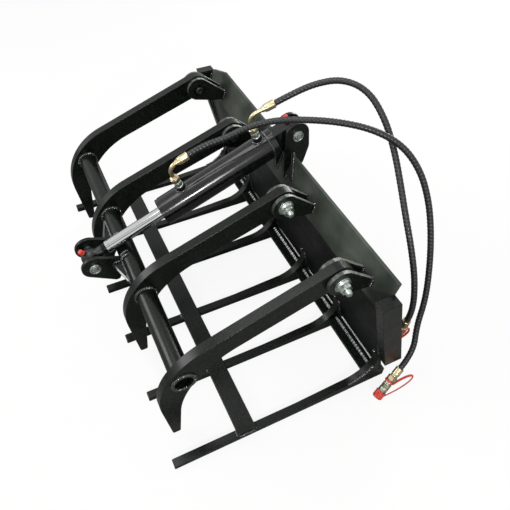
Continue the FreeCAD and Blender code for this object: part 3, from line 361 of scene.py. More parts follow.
def closed_grid(rows, columns):
    """Faces between neighbouring closed rings, and one face over each end."""
    row = np.arange(rows - 1)[:, None] * columns
    here = np.arange(columns)[None, :]
    after = (here + 1) % columns
    quads = np.stack([row + here, row + after, row + columns + after, row + columns + here], -1)
    ends = [np.arange(columns)[::-1], np.arange(columns) + (rows - 1) * columns]
    return quads.reshape(-1, 4), ends


def joined(surfaces):
    """Several surfaces as one."""
    starts = np.cumsum([0] + [len(points) for points, _, _ in surfaces])
    return (np.vstack([points for points, _, _ in surfaces]),
            np.vstack([quads + start for (_, quads, _), start in zip(surfaces, starts)]),
            [end + start for (_, _, ends), start in zip(surfaces, starts) for end in ends])


def cross_axes(axis):
    """An axis as a unit vector, and two more square to it and to each other."""
    axis = np.asarray(axis, float) / np.linalg.norm(axis)
    side = np.cross([0.0, 0.0, 1.0], axis)
    if np.linalg.norm(side) < 0.1:
        side = np.array([1.0, 0.0, 0.0])
    side = side / np.linalg.norm(side)
    return axis, side, np.cross(axis, side)


def turned(base, axis, profile, shape=None, sides=48):
    """A turned solid: rings at (distance, radius) pairs in millimetres along an axis from base.

    P(k, t) = base + axis d_k + r_k m(d_k, t) (side cos t + other sin t), where the optional
    shape m gives hexagons, ribs and threads as a factor on the radius.
    """
    axis, side, other = cross_axes(axis)
    d, r = np.array(profile, float).T[:, :, None]
    t = np.linspace(0, 2 * math.pi, sides, endpoint=False)[None, :]
    r = mm(r * (shape(d, t) if shape else np.ones_like(d * t)))
    points = (np.asarray(base) + mm(d)[..., None] * axis
              + (r * np.cos(t))[..., None] * side + (r * np.sin(t))[..., None] * other)
    return points.reshape(-1, 3), *closed_grid(len(profile), sides)


def rings_along(line, radius, sides):
    """Rings square to a line of points, turned as little as possible from one to the next.

    P(k, t) = c_k + r(k, t) (n_k cos t + b_k sin t), with n carried along the line by
    projecting it off each tangent in turn.
    """
    line = np.asarray(line, float)
    tangent = np.gradient(line, axis=0)
    tangent /= np.linalg.norm(tangent, axis=1)[:, None]
    normal = np.zeros_like(tangent)
    normal[0] = cross_axes(tangent[0])[1]
    for k in range(1, len(line)):
        carried = normal[k - 1] - tangent[k] * (normal[k - 1] @ tangent[k])
        normal[k] = carried / np.linalg.norm(carried)
    binormal = np.cross(tangent, normal)
    t = np.linspace(0, 2 * math.pi, sides, endpoint=False)
    r = radius(np.arange(len(line))[:, None], t[None, :]) if callable(radius) else radius
    points = (line[:, None] + (r * np.cos(t))[..., None] * normal[:, None]
              + (r * np.sin(t))[..., None] * binormal[:, None])
    return points.reshape(-1, 3), *closed_grid(len(line), sides)


def evened(line, step):
    """The same line as points a fixed step apart, and its length."""
    line = np.asarray(line, float)
    gone = np.concatenate([[0], np.cumsum(np.linalg.norm(np.diff(line, axis=0), axis=1))])
    at = np.linspace(0, gone[-1], max(3, int(gone[-1] / step)))
    return np.stack([np.interp(at, gone, line[:, i]) for i in range(3)], 1), gone[-1]


# Points nearer than SAME_POINT are merged. Edges that bend less than FLAT degrees are dissolved,
# those past SMOOTH are shaded sharp, and those past ROUNDED are rounded over.
SAME_POINT = 2e-6
FLAT = 0.4
SMOOTH = 30
ROUNDED = 32


def mark_cut_faces(data):
    """The attribute edge, the painted highlight's share: 0 on a plate's sides, 1 on cut faces that
    look up and back, else 0.25.
    """
    normals = np.zeros(len(data.polygons) * 3)
    data.polygons.foreach_get("normal", normals)
    across, back, up = normals.reshape(-1, 3).T
    share = np.where((back > 0) & (up > 0), 1.0, 0.25) * (np.abs(across) < 0.5)
    data.attributes.new("edge", "FLOAT", "FACE").data.foreach_set("value", share)


def dressed(node, bevel, material=None):
    """A merged copy of a CAD node with its edges rounded over, shown in the node's place."""
    mesh = bmesh.new()
    mesh.from_mesh(frame["nodes"][node].data)
    bmesh.ops.remove_doubles(mesh, verts=mesh.verts, dist=SAME_POINT)
    bmesh.ops.dissolve_limit(mesh, angle_limit=math.radians(FLAT), verts=mesh.verts,
                             edges=mesh.edges)
    data = bpy.data.meshes.new(node + "_dressed")
    mesh.to_mesh(data)
    mesh.free()
    data.materials.clear()
    data.materials.append(material or SLOT_MATERIALS[SLOT_OF[node]])
    data.shade_smooth()
    data.set_sharp_from_angle(angle=math.radians(SMOOTH))
    if material is CUT_EDGE_HIGHLIGHT:
        mark_cut_faces(data)
    made = bpy.data.objects.new(node + "_dressed", data)
    bpy.context.scene.collection.objects.link(made)
    rounding = made.modifiers.new("edges", "BEVEL")
    rounding.width = mm(bevel)
    rounding.segments = 2
    rounding.limit_method = "ANGLE"
    rounding.angle_limit = math.radians(ROUNDED)
    rounding.harden_normals = True
    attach(made, BODY_OF[node])
    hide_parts(node)


# Plates, bars and tubes

FLAME_CUT = ["ram_ears", "clevis_ears"] + ["jaw_arm_%d" % i for i in range(1, 5)]
SHEARED = ["crossbar", "foot_strips", "coupler_lip", "latch_flange", "end_posts", "end_post_caps"]
SHEARED += ["tine_%d" % i for i in range(1, 7)]
MACHINED = ["cross_pipe", "rod_eye", "hose_elbows"]
# ears whose cut edges carry a painted highlight
HIGHLIT_EDGE_EARS = ["pivot_ears_%d" % i for i in range(1, 5)]
RAM_OUTSIDE = ["barrel_tube", "base_cap", "base_eye", "rod_gland", "port_bosses"]
# How far each group's edges are rounded: flame-cut edges were ground and are thick with paint,
# so they are rounder than sheared or machined ones
for nodes, rounding, material in (
        (FLAME_CUT, 2.0, None), (SHEARED, 1.3, None), (MACHINED, 0.6, None),
        (HIGHLIT_EDGE_EARS, 1.6, CUT_EDGE_HIGHLIGHT), (["clevis_gussets"], 1.6, None),
        (["mount_plate"], 1.3, PLATE_ENAMEL_PAINTED_SHEEN), (RAM_OUTSIDE, 0.8, RAM_ENAMEL)):
    for node in nodes:
        dressed(node, rounding, material)


# Weld beads

rng = np.random.default_rng(7)
SIDES = (-1, 1)
BEAD_STEP = mm(1.6)
# The length of one coin of the ripple
RIPPLE = mm(5.2)
# The hand's wander: how far, and how far apart its knots are; they reach a little past the end
WANDER = mm(0.35)
KNOTS_APART = mm(12)
PAST_END = mm(30)


def bead(line, size, lip=0.3, face=None, coin=RIPPLE):
    """A weld bead: a round bar half sunk in the corner, rippled like laid coins.

    r(s) = size (1 - 0.6 lip + lip (1 - (2 f - 1)^2) + slow noise), and less at both ends, with
    f = frac(s / coin + 3 slow noise + a random start). Its line wanders a little, as a hand does.
    face is the angle, in degrees from +Y toward +Z, on which a bead along X is flat, as a fillet
    is: r = min(r, 0.62 r / cos(t - face)). Such a bead keeps to its line.
    """
    points, length = evened(line, BEAD_STEP)
    s = np.arange(len(points)) * BEAD_STEP
    knots = np.arange(0, length + PAST_END, KNOTS_APART)
    slow = np.interp(s, knots, rng.normal(0, 0.27 * lip, len(knots)))
    wander = [np.interp(s, knots, rng.normal(0, WANDER, len(knots))) for _ in range(3)]
    f = (s / coin + 3 * slow + rng.uniform(0, 1)) % 1.0
    r = mm(size) * (1 - 0.6 * lip + lip * (1 - (2 * f - 1) ** 2) + slow)
    r[:2] *= 0.6
    r[-2:] *= 0.6
    if face is None:
        return rings_along(points + np.stack(wander, 1), lambda k, t: r[k] + 0 * t, 8)
    flat = math.radians(face)

    def fillet(k, t):
        return r[k] * np.minimum(1, 0.62 / np.maximum(np.cos(t - flat), 0.01))
    return rings_along(points, fillet, 18)


def level(start, end, y, z):
    """A straight line along X, from start to end, at one Y and Z."""
    return [mm(start, y, z), mm(end, y, z)]


def front_y(z, out):
    """The Y of a point in front of the mounting plate by out, at one height."""
    return float(plate_front(z)) - out


def front_line(x, low, high, out=0.0):
    """Points up the mounting plate's front face at one X, in metres."""
    z = np.linspace(low, high, 20)
    return np.stack([np.full(len(z), x), plate_front(z) - out, z], 1) / 1000


def arc_across(x, y, z, radius, start, end, count):
    """Points round an axis along X through (y, z), at one X; in degrees from +Y toward +Z."""
    a = np.radians(np.linspace(start, end, count))
    return np.stack([np.full(count, x), y + radius * np.cos(a), z + radius * np.sin(a)], 1)


def pipe_arc(x, start, end):
    """Points round the cross pipe at one X, in metres."""
    return arc_across(mm(x), PIPE[1], PIPE[2], mm(31.5), start, end, 90)


def ring_line(centre, axis, radius):
    """Points round a closed ring square to an axis; the radius is in millimetres."""
    axis, side, other = cross_axes(axis)
    a = np.linspace(0, 2 * math.pi, 90)[:, None]
    return centre + mm(radius) * (np.cos(a) * side + np.sin(a) * other)


def boss_ring(place):
    """The line where a port boss meets the barrel: a circle of 16.5 mm laid on its round top."""
    a = np.linspace(0, 2 * math.pi, 60)[:, None]
    aside = 16.5 * np.sin(a)
    return (FRONT_PIN + ALONG * mm(place + 16.5 * np.cos(a)) + ACROSS * mm(aside)
            + ABOVE * mm(np.sqrt(BARREL_RADIUS ** 2 - aside ** 2)))


def foot_beads():
    """Between the tines: a neat run along the plate's foot, and a rougher one across the strip."""
    foot_z, strip_z = 60, 58.5
    foot_y = front_y(foot_z, 1)
    strip_y = foot_y - 19
    beads = []
    for left, right in zip(TINE_X, TINE_X[1:]):
        beads.append(bead(level(left + 14, right - 14, foot_y, foot_z), 4.2, 0.02, 133))
        beads.append(bead(level(left + 17, right - 17, strip_y, strip_z), 6.5, 0.26, 131, mm(11)))
    return beads


def tine_beads():
    """Up each tine's sides where it meets the plate, and over it along the crossbar's edges."""
    plate_half, tine_half = 600, 12.5
    tine_top = 20
    beads = []
    for x in TINE_X:
        for side in SIDES:
            if abs(x + side * tine_half) < plate_half:
                beads.append(bead(front_line(x + side * 13, 62, 150), 5.0))
        for y in (-170, -109):
            beads.append(bead(level(x - 11, x + 11, y, tine_top), 5.0))
    # at the crossbar's two ends, on the end tines
    for side in SIDES:
        beads.append(bead([mm(side * 602, -166, tine_top + 1), mm(side * 602, -113, tine_top + 1)],
                          4.5))
    # round the outer edge of each end tine's heel, a curve of 100 mm
    for side in SIDES:
        heel = mm(1) * arc_across(side * 600.5, 212.5, 131, 100, -86, -22, 40)
        beads.append(bead(heel, 5.6, coin=mm(8)))
    return beads


def pivot_ear_beads():
    """Up both faces of each pivot ear at its foot, and across the foot's two ends."""
    inner_face, outer_face = 16.5, 29.2
    foot, tail = 446, 477
    beads = []
    for x in ARM_X:
        for side in SIDES:
            for offset in (inner_face, outer_face):
                beads.append(bead(front_line(x + side * offset, foot + 2, tail - 2), 5.5))
            for z in (foot, tail):
                beads.append(bead(level(x + side * 17, x + side * 29, front_y(z, 1), z), 5.0))
    return beads


def post_and_ram_ear_beads():
    """Up the end posts, up both faces of the ram's rear ears, and along the ears' braces."""
    post_low, post_high = 170, 482
    ear_low, ear_high = 443, 525
    beads = []
    for x in (-602, 602):
        beads.append(bead(front_line(x, post_low, post_high, out=1), 4.6))
    for x in (-34.5, -21.5, 21.5, 34.5):
        beads.append(bead(front_line(x, ear_low, ear_high), 4.2))
    # each three-cornered brace, along its foot and its long edge
    for side in SIDES:
        beads.append(bead(level(side * 38, side * 73, front_y(465, 1), 464), 5.0))
        beads.append(bead([mm(side * 74, front_y(468, 2), 468),
                           mm(side * 36, front_y(544, 2), 546)], 4.6))
    return beads


def jaw_beads():
    """Round the cross pipe at the arms and the clevis ears, and along the clevis's gussets."""
    beads = []
    for x in ARM_X:
        for side in SIDES:
            beads.append(bead(pipe_arc(x + side * 16, 0, 360), 6.0))
    for x in (-49.5, -36.5, 36.5, 49.5):
        beads.append(bead(pipe_arc(x, 95, 232), 4.8))
    # each gusset's top face, along the ear and along the pipe, and round its outer tip
    for side in SIDES:
        beads.append(bead([mm(side * 50.5, -343, 329.5), mm(side * 50.5, -318, 329.5)], 4.2))
        beads.append(bead(level(side * 52, side * 138, -315.5, 330), 4.4))
        beads.append(bead([mm(side * 138, -318, 325), mm(side * 143, -314, 325),
                           mm(side * 146, -310, 327)], 5.5))
    # a smooth run along each gusset's front edge, flat toward the front; both lead toward +X
    root, tip = mm(50, -345, 329), mm(141, -316.5, 329)
    other_side = np.array([-1, 1, 1])
    for line in ([root, tip], [tip * other_side, root * other_side]):
        beads.append(bead(line, 4.4, 0.05, 123))
    return beads


def barrel_beads():
    """Round the barrel at its base cap, and round each port boss."""
    return ([bead(ring_line(on_ram(BASE_CAP_FRONT), ALONG, 44.6), 3.2, 0.2)]
            + [bead(boss_ring(place), 3.6) for place, _, _ in PORTS])


frame_beads = foot_beads() + tine_beads() + pivot_ear_beads() + post_and_ram_ear_beads()
for name, beads, body in (("frame_welds", frame_beads, "frame"), ("jaw_welds", jaw_beads(), "jaw"),
                          ("barrel_welds", barrel_beads(), "barrel")):
    piece(name, joined(beads), WELD_ENAMEL, body, 50)


# Fasteners

# How far a hexagon's corner stands out beyond its flats, as a share of half the flats; the corner
# starts at CUT_BACK of that at each end, and grows over RISE
CORNER = 0.1547
CUT_BACK = 0.35
RISE = 3.2


def hexagon(start, end):
    """The factor that makes a hexagon of a round bar of half its flats, with turned corners.

    m = min(1 / cos(angle to the nearest flat), 1 + 0.1547 w), with w = 0.35 + (the way in from
    the nearer end) / 3.2, at most 1.
    """
    def shape(d, t):
        corner = 1 / np.cos((t % (math.pi / 3)) - math.pi / 6)
        inward = np.clip(CUT_BACK + np.minimum(d - start, end - d) / RISE, 0, 1)
        return np.where((d >= start) & (d <= end), np.minimum(corner, 1 + CORNER * inward), 1.0)
    return shape


def thread(start, end, radius, pitch, depth):
    """Rings close enough for a thread, and its factor: a ridge that climbs one pitch a turn.

    m = 1 - depth / radius (1 - ridge + fade), ridge = |2 frac(d / pitch - t / 2 pi) - 1|, where
    fade falls from 1 to 0 over one pitch from each end.
    """
    stations = np.linspace(start, end, max(8, int((end - start) / (pitch / 6))))

    def shape(d, t):
        ridge = np.abs(2 * ((d / pitch - t / (2 * math.pi)) % 1.0) - 1)
        faded = 1 - np.clip(np.minimum(d - start, end - d) / pitch, 0, 1)
        return 1 - depth / radius * (1 - ridge + faded)
    return [(d, radius) for d in stations], shape


def bar(start, end, radius, count=12):
    """Profile pairs for a plain length, with enough rings to take a shape."""
    return [(d, radius) for d in np.linspace(start, end, count)]


# SEAT is the nut's underside, from the arm's middle; the nut's and bolt's ends are from SEAT
SEAT = 33.2
NUT_TOP = 20.0
NUT_HALF_FLATS = 16
BOLT_END = 35.0
BOLT_RADIUS = 10.0
WASHER_THICKNESS = 4


def flanged_nut(centre, out):
    """A flanged hexagon nut: a dished flange that runs up into 32 mm flats."""
    flats_start, flats_end = 6.41, NUT_TOP - 1
    profile = [(0, 10), (0.01, 21.9), (0.8, 22.5), (2.2, 22.4), (3.4, 21.4), (6.4, 18.2)]
    profile += bar(flats_start, flats_end, NUT_HALF_FLATS, 14) + [(NUT_TOP, 13.2), (NUT_TOP, 10)]
    return turned(centre + out * mm(SEAT), out, profile, hexagon(flats_start, flats_end), 60)


def bolt_tail(centre, out):
    """The bolt's threaded tail, from just inside its nut to its turned end."""
    profile, climb = thread(NUT_TOP - 1, BOLT_END - 1.2, BOLT_RADIUS, pitch=2.5, depth=1.2)
    profile += [(BOLT_END, 7.6), (BOLT_END, 0.05)]
    return turned(centre + out * mm(SEAT), out, profile, climb, 40)


def domed_head(centre, out):
    """A low domed bolt head with a round recess in its middle."""
    profile = [(0, 12.6), (0.6, 13.5), (4.6, 13.5)]
    profile += [(4.6 + 3.2 * math.sin(a), 9.2 + 4.3 * math.cos(a)) for a in np.linspace(0.2, 1.5, 6)]
    profile += [(8.0, 7.0), (7.6, 6.3), (7.0, 6.0), (4.4, 6.0), (3.9, 5.4), (3.8, 0.05)]
    return turned(centre + out * mm(SEAT), out, profile, None, 48)


def washer(centre, out):
    """A plain washer with bevelled edges, between an ear and a nut or head."""
    profile = [(0, 10.2), (0, 24.4), (0.6, 25), (3.4, 25), (4, 24.4), (4, 10.2)]
    return turned(centre + out * mm(SEAT - WASHER_THICKNESS), out, profile, None, 64)


nuts = []
bolts = []
heads = []
nut_washers = []
head_washers = []
for x in ARM_X:
    out = np.array([1.0 if x > 0 else -1.0, 0, 0])
    centre = PIVOT + mm(x, 0, 0)
    nuts.append(flanged_nut(centre, out))
    shank = [(0, BOLT_RADIUS), (2 * SEAT, BOLT_RADIUS)]
    bolts += [bolt_tail(centre, out), turned(centre - out * mm(SEAT), out, shank, None, 32)]
    heads.append(domed_head(centre, -out))
    nut_washers.append(washer(centre, out))
    head_washers.append(washer(centre, -out))
# the nut side is bare zinc; the head side was painted over with the frame
for name, parts, material, slot, node in (
        ("pivot_nuts_turned", nuts, ZINC, "bright_zinc", "pivot_nuts"),
        ("pivot_bolts_threaded", bolts, ZINC, "bright_zinc", "pivot_bolts"),
        ("pivot_bolt_heads", heads, BLACKED, "dark_steel", None),
        ("pivot_washers_bare", nut_washers, ZINC, "bright_zinc", "pivot_washers"),
        ("pivot_washers_painted", head_washers, ENAMEL, "black_paint", None)):
    made = piece(name, joined(parts), material, "frame", 30)
    if node:
        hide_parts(node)


def hairpin(hole):
    """The clip's line: a straight leg through the pin, a round loop and a bowed spring leg.

    In (Y, Z) from the hole: the loop is (-6.5 + 6.5 cos v, 20 + 5 sin v) and the bowed leg is
    (-13 - 2.6 sin v, 20 - 40 v / pi), with v from 0 to pi.
    """
    leg = np.stack([np.zeros(2), np.zeros(2), [-20, 20]], 1)
    v = np.linspace(0, math.pi, 24)[1:]
    loop = np.stack([0 * v, -6.5 + 6.5 * np.cos(v), 20 + 5 * np.sin(v)], 1)
    back = np.stack([0 * v, -13 - 2.6 * np.sin(v), 20 - 40 * v / math.pi], 1)
    return hole + mm(1) * np.vstack([leg, loop, back])


def headed_pin(name, node, centre, outside, body):
    """A clevis pin: a turned head with a bright rim, a dark ring groove and a low button."""
    tail = -2 * outside - 12
    profile = [(tail, 11.2), (tail + 1.4, 12.7), (0, 12.7), (0.01, 17.4), (0.6, 18), (6.4, 18),
               (7.5, 17.4), (8.0, 16.2), (7.9, 14.6), (7.2, 13.9), (4.0, 13.4), (3.8, 12.4),
               (6.3, 11.8), (7.0, 10.8), (7.5, 8), (7.8, 4), (7.9, 0.05)]
    made = piece(name, turned(centre + ACROSS * mm(outside), ACROSS, profile, None, 56), ZINC, body,
                 30)
    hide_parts(node)
    line, _ = evened(hairpin(centre - ACROSS * mm(outside + 6)), mm(1.2))
    made = piece(name + "_clip", rings_along(line, mm(2.2), 10), SPRING, body, 60)
    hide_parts(node + "_clip")


headed_pin("front_pin_turned", "front_pin", FRONT_PIN, 49, "jaw")
headed_pin("rear_pin_turned", "rear_pin", REAR_PIN, 34, "frame")


# Ram

collar_thread, climb = thread(44, 58, 19, pitch=2.4, depth=1.3)
made = piece("lock_collar_threaded", turned(FRONT_PIN, ALONG, collar_thread, climb, 64), OILED_THREAD,
             "rod", 40)
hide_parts("lock_collar")


def chromed_rod():
    """The rod: a bevelled end at the collar, a short land and a narrow relief groove behind it.

    Its attribute streak is the share of painted dark reflection round the rod, in lengthwise bands:
    0.9 max(0, cos(5 t + 0.7))^14 + 0.6 max(0, cos(8 t + 2.1))^12, at most 1.
    """
    sides = 96
    profile = [(58, 17.6), (59.6, 19.4), (60.4, 20), (71, 20), (71.4, 18.6), (74.4, 18.6),
               (74.8, 20), (76, 20), (375, 20)]
    made = piece("piston_rod_ground", turned(FRONT_PIN, ALONG, profile, None, sides), CHROME, "rod",
                 25)
    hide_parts("piston_rod")
    t = np.tile(np.linspace(0, 2 * math.pi, sides, endpoint=False), len(profile))
    reflection_bands = (0.9 * np.clip(np.cos(5 * t + 0.7), 0, 1) ** 14
            + 0.6 * np.clip(np.cos(8 * t + 2.1), 0, 1) ** 12)
    # the painted reflection bands, stored on the rod's points
    streak = made.data.attributes.new("streak", "FLOAT", "POINT")
    streak.data.foreach_set("value", np.clip(reflection_bands, 0, 1))


chromed_rod()


NIPPLE_HEIGHT = 4


def grease_cap(name, node, centre, radius, lean, body):
    """A moulded cap on a grease nipple: a ribbed skirt under a shallow dome.

    m = 1 - 0.1 max(0, cos 10 t) on the skirt, so that ten ribs stand out.
    """
    a = math.radians(lean)
    axis = np.array([0, -math.sin(a), math.cos(a)])

    def ribs(d, t):
        return 1 - 0.1 * np.clip(np.cos(10 * t), 0, 1) * ((d > 2.4) & (d < 11.5))
    profile = [(0, 4.2), (0, 8.6), (0.5, 9.0), (2.2, 9.0), (2.5, 8.8)] + bar(2.6, 11.2, 8.8, 8)
    profile += [(11.9, 8.4), (13.2, 7.2), (14.3, 5.0), (14.9, 2.4), (15, 0.05)]
    base = centre + axis * mm(radius + NIPPLE_HEIGHT)
    made = piece(name, turned(base, axis, profile, ribs, 60), RED, body, 40)
    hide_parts(node)


grease_cap("rod_grease_cap_ribbed", "rod_grease_cap", FRONT_PIN, 30, 35, "rod")
grease_cap("base_grease_cap_ribbed", "base_grease_cap", REAR_PIN + mm(-12, 0, 0), 36, 26, "barrel")


# Heights over the ram's axis: the bosses' tops, the swivel nuts, the tubes' feet, the ferrules
BOSS_TOP = 57
SWIVEL_FOOT = 80
TUBE_FOOT = 98
FERRULE_HEIGHT = 139


def crimped_ferrule(base, axis):
    """A crimped hose end: a smooth collar, eight lengthwise crimp flutes, then a rolled lip.

    m = 1 - 0.05 (0.5 + 0.5 cos 8 t)^3 between the collar and the lip.
    """
    profile = [(0, 7), (0.3, 10.5), (1.4, 11.6), (5.5, 11.6), (7.5, 12.6)] + bar(8.5, 31.5, 12.9, 16)
    profile += [(32.6, 12.6), (33.4, 12.9), (34.0, 12.2), (34.0, 9.0)]

    def flutes(d, t):
        return np.where((d > 8) & (d < 32), 1 - 0.05 * (0.5 + 0.5 * np.cos(8 * t)) ** 3, 1.0)
    return turned(base, axis, profile, flutes, 96)


def port_adapter(base):
    """A port adapter: a thread into the boss, hexagon flats, and a thread for the swivel nut."""
    lower, lower_climb = thread(0, 6, 12.5, pitch=1.8, depth=0.9)
    upper, upper_climb = thread(17, 23, 11.0, pitch=1.6, depth=0.8)
    flats = [(5.5, 11)] + bar(6, 17, 12.2) + [(17.5, 10)]
    return [turned(base, ABOVE, lower, lower_climb), turned(base, ABOVE, upper, upper_climb),
            turned(base, ABOVE, flats, hexagon(6, 17), 60)]


def swivel_nut(base):
    """A swivel nut: hexagon flats that narrow to the bent tube."""
    profile = [(0, 9), (0.3, 13.3)] + bar(0.6, 14, 13.5) + [(15, 12.4), (17.4, 11.6), (18.8, 8.5)]
    return turned(base, ABOVE, profile, hexagon(0.6, 14), 60)


def tube_collars(place, end, away):
    """The bent tube's two collars: one in the ferrule's mouth, one where it leaves its nut."""
    mouth = [(0, 6.6), (0.4, 8.4), (6.6, 8.8), (7.2, 8.8)]
    neck = [(0, 8.0), (2.4, 8.4), (3.4, 6.6)]
    return [turned(end - away * mm(7), away, mouth, None, 32),
            turned(on_ram(place, TUBE_FOOT), ABOVE, neck, None, 32)]


adapters = []
swivels = []
ferrules = []
collars = []
for place, angle, ferrule_start in PORTS:
    turn = math.radians(angle)
    away = ALONG * math.cos(turn) + ACROSS * math.sin(turn)
    end = on_ram(place, FERRULE_HEIGHT) + away * mm(ferrule_start)
    adapters += port_adapter(on_ram(place, BOSS_TOP))
    swivels.append(swivel_nut(on_ram(place, SWIVEL_FOOT)))
    ferrules.append(crimped_ferrule(end, away))
    collars += tube_collars(place, end, away)
for name, parts, material, slot, node in (
        ("port_adapters_hex", adapters, ZINC, "bright_zinc", "port_adapters"),
        ("swivel_nuts_hex", swivels, CHROMATE, "yellow_zinc", "swivel_nuts"),
        ("ram_ferrules_crimped", ferrules, CHROMATE, "yellow_zinc", "ram_ferrules"),
        ("elbow_collars", collars, CHROMATE, "yellow_zinc", None)):
    made = piece(name, joined(parts), material, "barrel", 26)
    if node:
        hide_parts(node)


# Hoses


def route_line(name, route):
    """The hose's line, read from one NURBS spline with the route's points as control points."""
    data = bpy.data.curves.new(name, "CURVE")
    data.dimensions = "3D"
    data.resolution_u = 24
    spline = data.splines.new("NURBS")
    spline.points.add(len(route) - 1)
    weighted = np.hstack([mm(1) * np.array(route, float), np.ones((len(route), 1))])
    spline.points.foreach_set("co", weighted.ravel())
    spline.order_u = 3
    spline.use_endpoint_u = True
    holder = bpy.data.objects.new(name, data)
    bpy.context.scene.collection.objects.link(holder)
    bpy.context.view_layer.update()
    mesh = bpy.data.meshes.new_from_object(holder)
    points = np.zeros(len(mesh.vertices) * 3)
    mesh.vertices.foreach_get("co", points)
    bpy.data.objects.remove(holder)
    bpy.data.meshes.remove(mesh)
    return points.reshape(-1, 3)


HOSE_RADIUS = 9.5
# A real guard's strip is about this wide, from one turn to the next
GUARD_PITCH = 11.0
GUARD_SIDES = 28
hose_lines = {}
for name, node, route, blend_end in (("hose_a_guarded", "hose_a", HOSE_A_ROUTE, 8),
                                     ("hose_b_guarded", "hose_b", HOSE_B_ROUTE, 10)):
    line, length = evened(route_line(name, route), mm(1.3))
    turns = np.arange(len(line)) * length / (len(line) - 1) / mm(GUARD_PITCH)

    def across_strip(k, t):
        """The phase that runs once across the strip: f = frac(s / pitch - t / 2 pi)."""
        return (turns[k] - t / (2 * math.pi)) % 1.0

    def crown(k, t):
        """0 in the gap between two turns and 1 on the strip: (min(f, 1 - f) - 0.08) / 0.09."""
        f = across_strip(k, t)
        return np.clip((np.minimum(f, 1 - f) - 0.08) / 0.09, 0, 1)

    def guard(k, t):
        """r = R (1 - 0.09 in the gap - 0.04 f), so that each turn laps the next."""
        return mm(HOSE_RADIUS) * (1 - 0.09 * (1 - crown(k, t)) - 0.04 * across_strip(k, t))
    made = piece(name, rings_along(line, guard, GUARD_SIDES), GUARD, None, 50)
    rows = np.arange(len(line))[:, None]
    around = np.linspace(0, 2 * math.pi, GUARD_SIDES, endpoint=False)[None, :]
    # the attribute strip places the painted shade in the gaps and the crown's partly painted
    # highlight
    strip = made.data.attributes.new("strip", "FLOAT", "POINT")
    strip.data.foreach_set("value", crown(rows, around).ravel())
    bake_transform(made)
    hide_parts(node)
    hose_lines[node] = line


# Couplers

# Places along a coupler, from the hose's end: the nut, the sleeve, the strap's band, the strap
# and the dust cap
NUT_START = 34
SLEEVE_START = 50
BAND_START = 50.6
STRAP_START = 52
CAP_START = 96
# Each strap's four control points: along the coupler from STRAP_START, and out from its axis
STRAP_A = [(2, 15.4), (-18, 24), (14, 34), (54, 16.4)]
STRAP_B = [(2, 15.4), (-95, 48), (-58, 76), (54, 16.4)]


def strap_loop(start, way, side, corners):
    """The strap's line: a cubic Bezier curve thrown out sideways and back to the cap."""
    t = np.linspace(0, 1, 50)[:, None]
    shares = np.hstack([(1 - t) ** 3, 3 * t * (1 - t) ** 2, 3 * t ** 2 * (1 - t), t ** 3])
    gone, out = (shares @ np.array(corners, float)).T[:, :, None]
    line, _ = evened(start + mm(gone) * way + mm(out) * side, mm(1.5))
    return line


def coupler_nut(base, way):
    """The nut between ferrule and coupler, with hexagon flats."""
    flats = [(0, 9), (0.3, 13.3)] + bar(0.6, 15.2, 13.5) + [(15.9, 12), (16, 9)]
    return turned(base, way, flats, hexagon(0.6, 15.2), 60)


def coupler_sleeve(base, way):
    """The coupler: a locking sleeve with a ball groove and a knurled middle, and a plain nose."""
    profile = [(0, 10), (0.4, 13.2), (1.2, 14), (9, 14), (9.8, 13), (10.6, 12.2), (12.6, 12.2),
               (13.4, 13.2), (14.2, 14), (17, 14)]
    profile += [(17 + i * 1.2, 14 - (0.7 if i % 2 else 0)) for i in range(13)]
    profile += [(33, 14), (43.4, 14), (45.2, 13.2), (46, 11), (66.5, 11), (68, 9.8)]
    return turned(base, way, profile, None, 56)


def dust_cap(base, way):
    """The dust cap: a flange, a skirt with finger ribs, and a domed end.

    m = 1 - 0.08 max(0, cos 18 t) on the skirt, so that eighteen ribs stand out.
    """
    profile = [(0.3, 11.5), (0.3, 16.2), (0.9, 17.2), (3.2, 17.2), (3.9, 16.4)]
    profile += bar(4.2, 21.6, 16.4)
    profile += [(22.6, 16.2), (25, 15.2), (26.6, 13.0), (27.2, 9.0), (27.3, 0.05)]

    def grip(d, t):
        return 1 - 0.08 * np.clip(np.cos(18 * t), 0, 1) * ((d > 4) & (d < 22))
    return turned(base, way, profile, grip, 72)


def cap_strap(start, way, side, corners):
    """The cap's band on the sleeve, and the strap that joins it to the cap.

    The strap is oval: r = 2.9 (1 + 0.35 cos 2 t).
    """
    band = turned(start + way * mm(BAND_START), way, [(0, 14.1), (0, 16.4), (6.4, 16.4), (6.4, 14.1)])
    line = strap_loop(start + way * mm(STRAP_START), way, side, corners)
    return joined([band, rings_along(line, lambda k, t: mm(2.9) * (1 + 0.35 * np.cos(2 * t)), 12)])


end_parts = {"hose_a": [], "hose_b": []}
for node, route, corners in (("hose_a", HOSE_A_ROUTE, STRAP_A), ("hose_b", HOSE_B_ROUTE, STRAP_B)):
    start = mm(*route[-1])
    way = start - mm(*route[-2])
    way = way / np.linalg.norm(way)
    side = mm(27, 51, 0)
    side = side - way * (side @ way)
    side /= np.linalg.norm(side)
    nut_base = start + way * mm(NUT_START)
    sleeve_base = start + way * mm(SLEEVE_START)
    cap_base = start + way * mm(CAP_START)
    for name, surface, material, slot, sharp in (
            ("ferrule_", crimped_ferrule(nut_base, -way), CHROMATE, "yellow_zinc", 26),
            ("coupler_nut_", coupler_nut(nut_base, way), CHROMATE, "yellow_zinc", 26),
            ("coupler_", coupler_sleeve(sleeve_base, way), COUPLER_ZINC, "coupler_zinc", 26),
            ("dust_cap_", dust_cap(cap_base, way), RED, "red_plastic", 32),
            ("cap_strap_", cap_strap(start, way, side, corners), RED, "red_plastic", 40)):
        end_parts[node].append(piece(name + node[-1], surface, material, "frame", sharp))
END_NODES = ("coupler_ferrules", "coupler_nuts", "couplers", "dust_caps", "cap_straps")
for shown, node in zip(end_parts["hose_a"], END_NODES):
    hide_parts(node)
for node, shown in (("hose_a", 0.995), ("hose_b", 1.373)):
    line = hose_lines[node]


# Stage


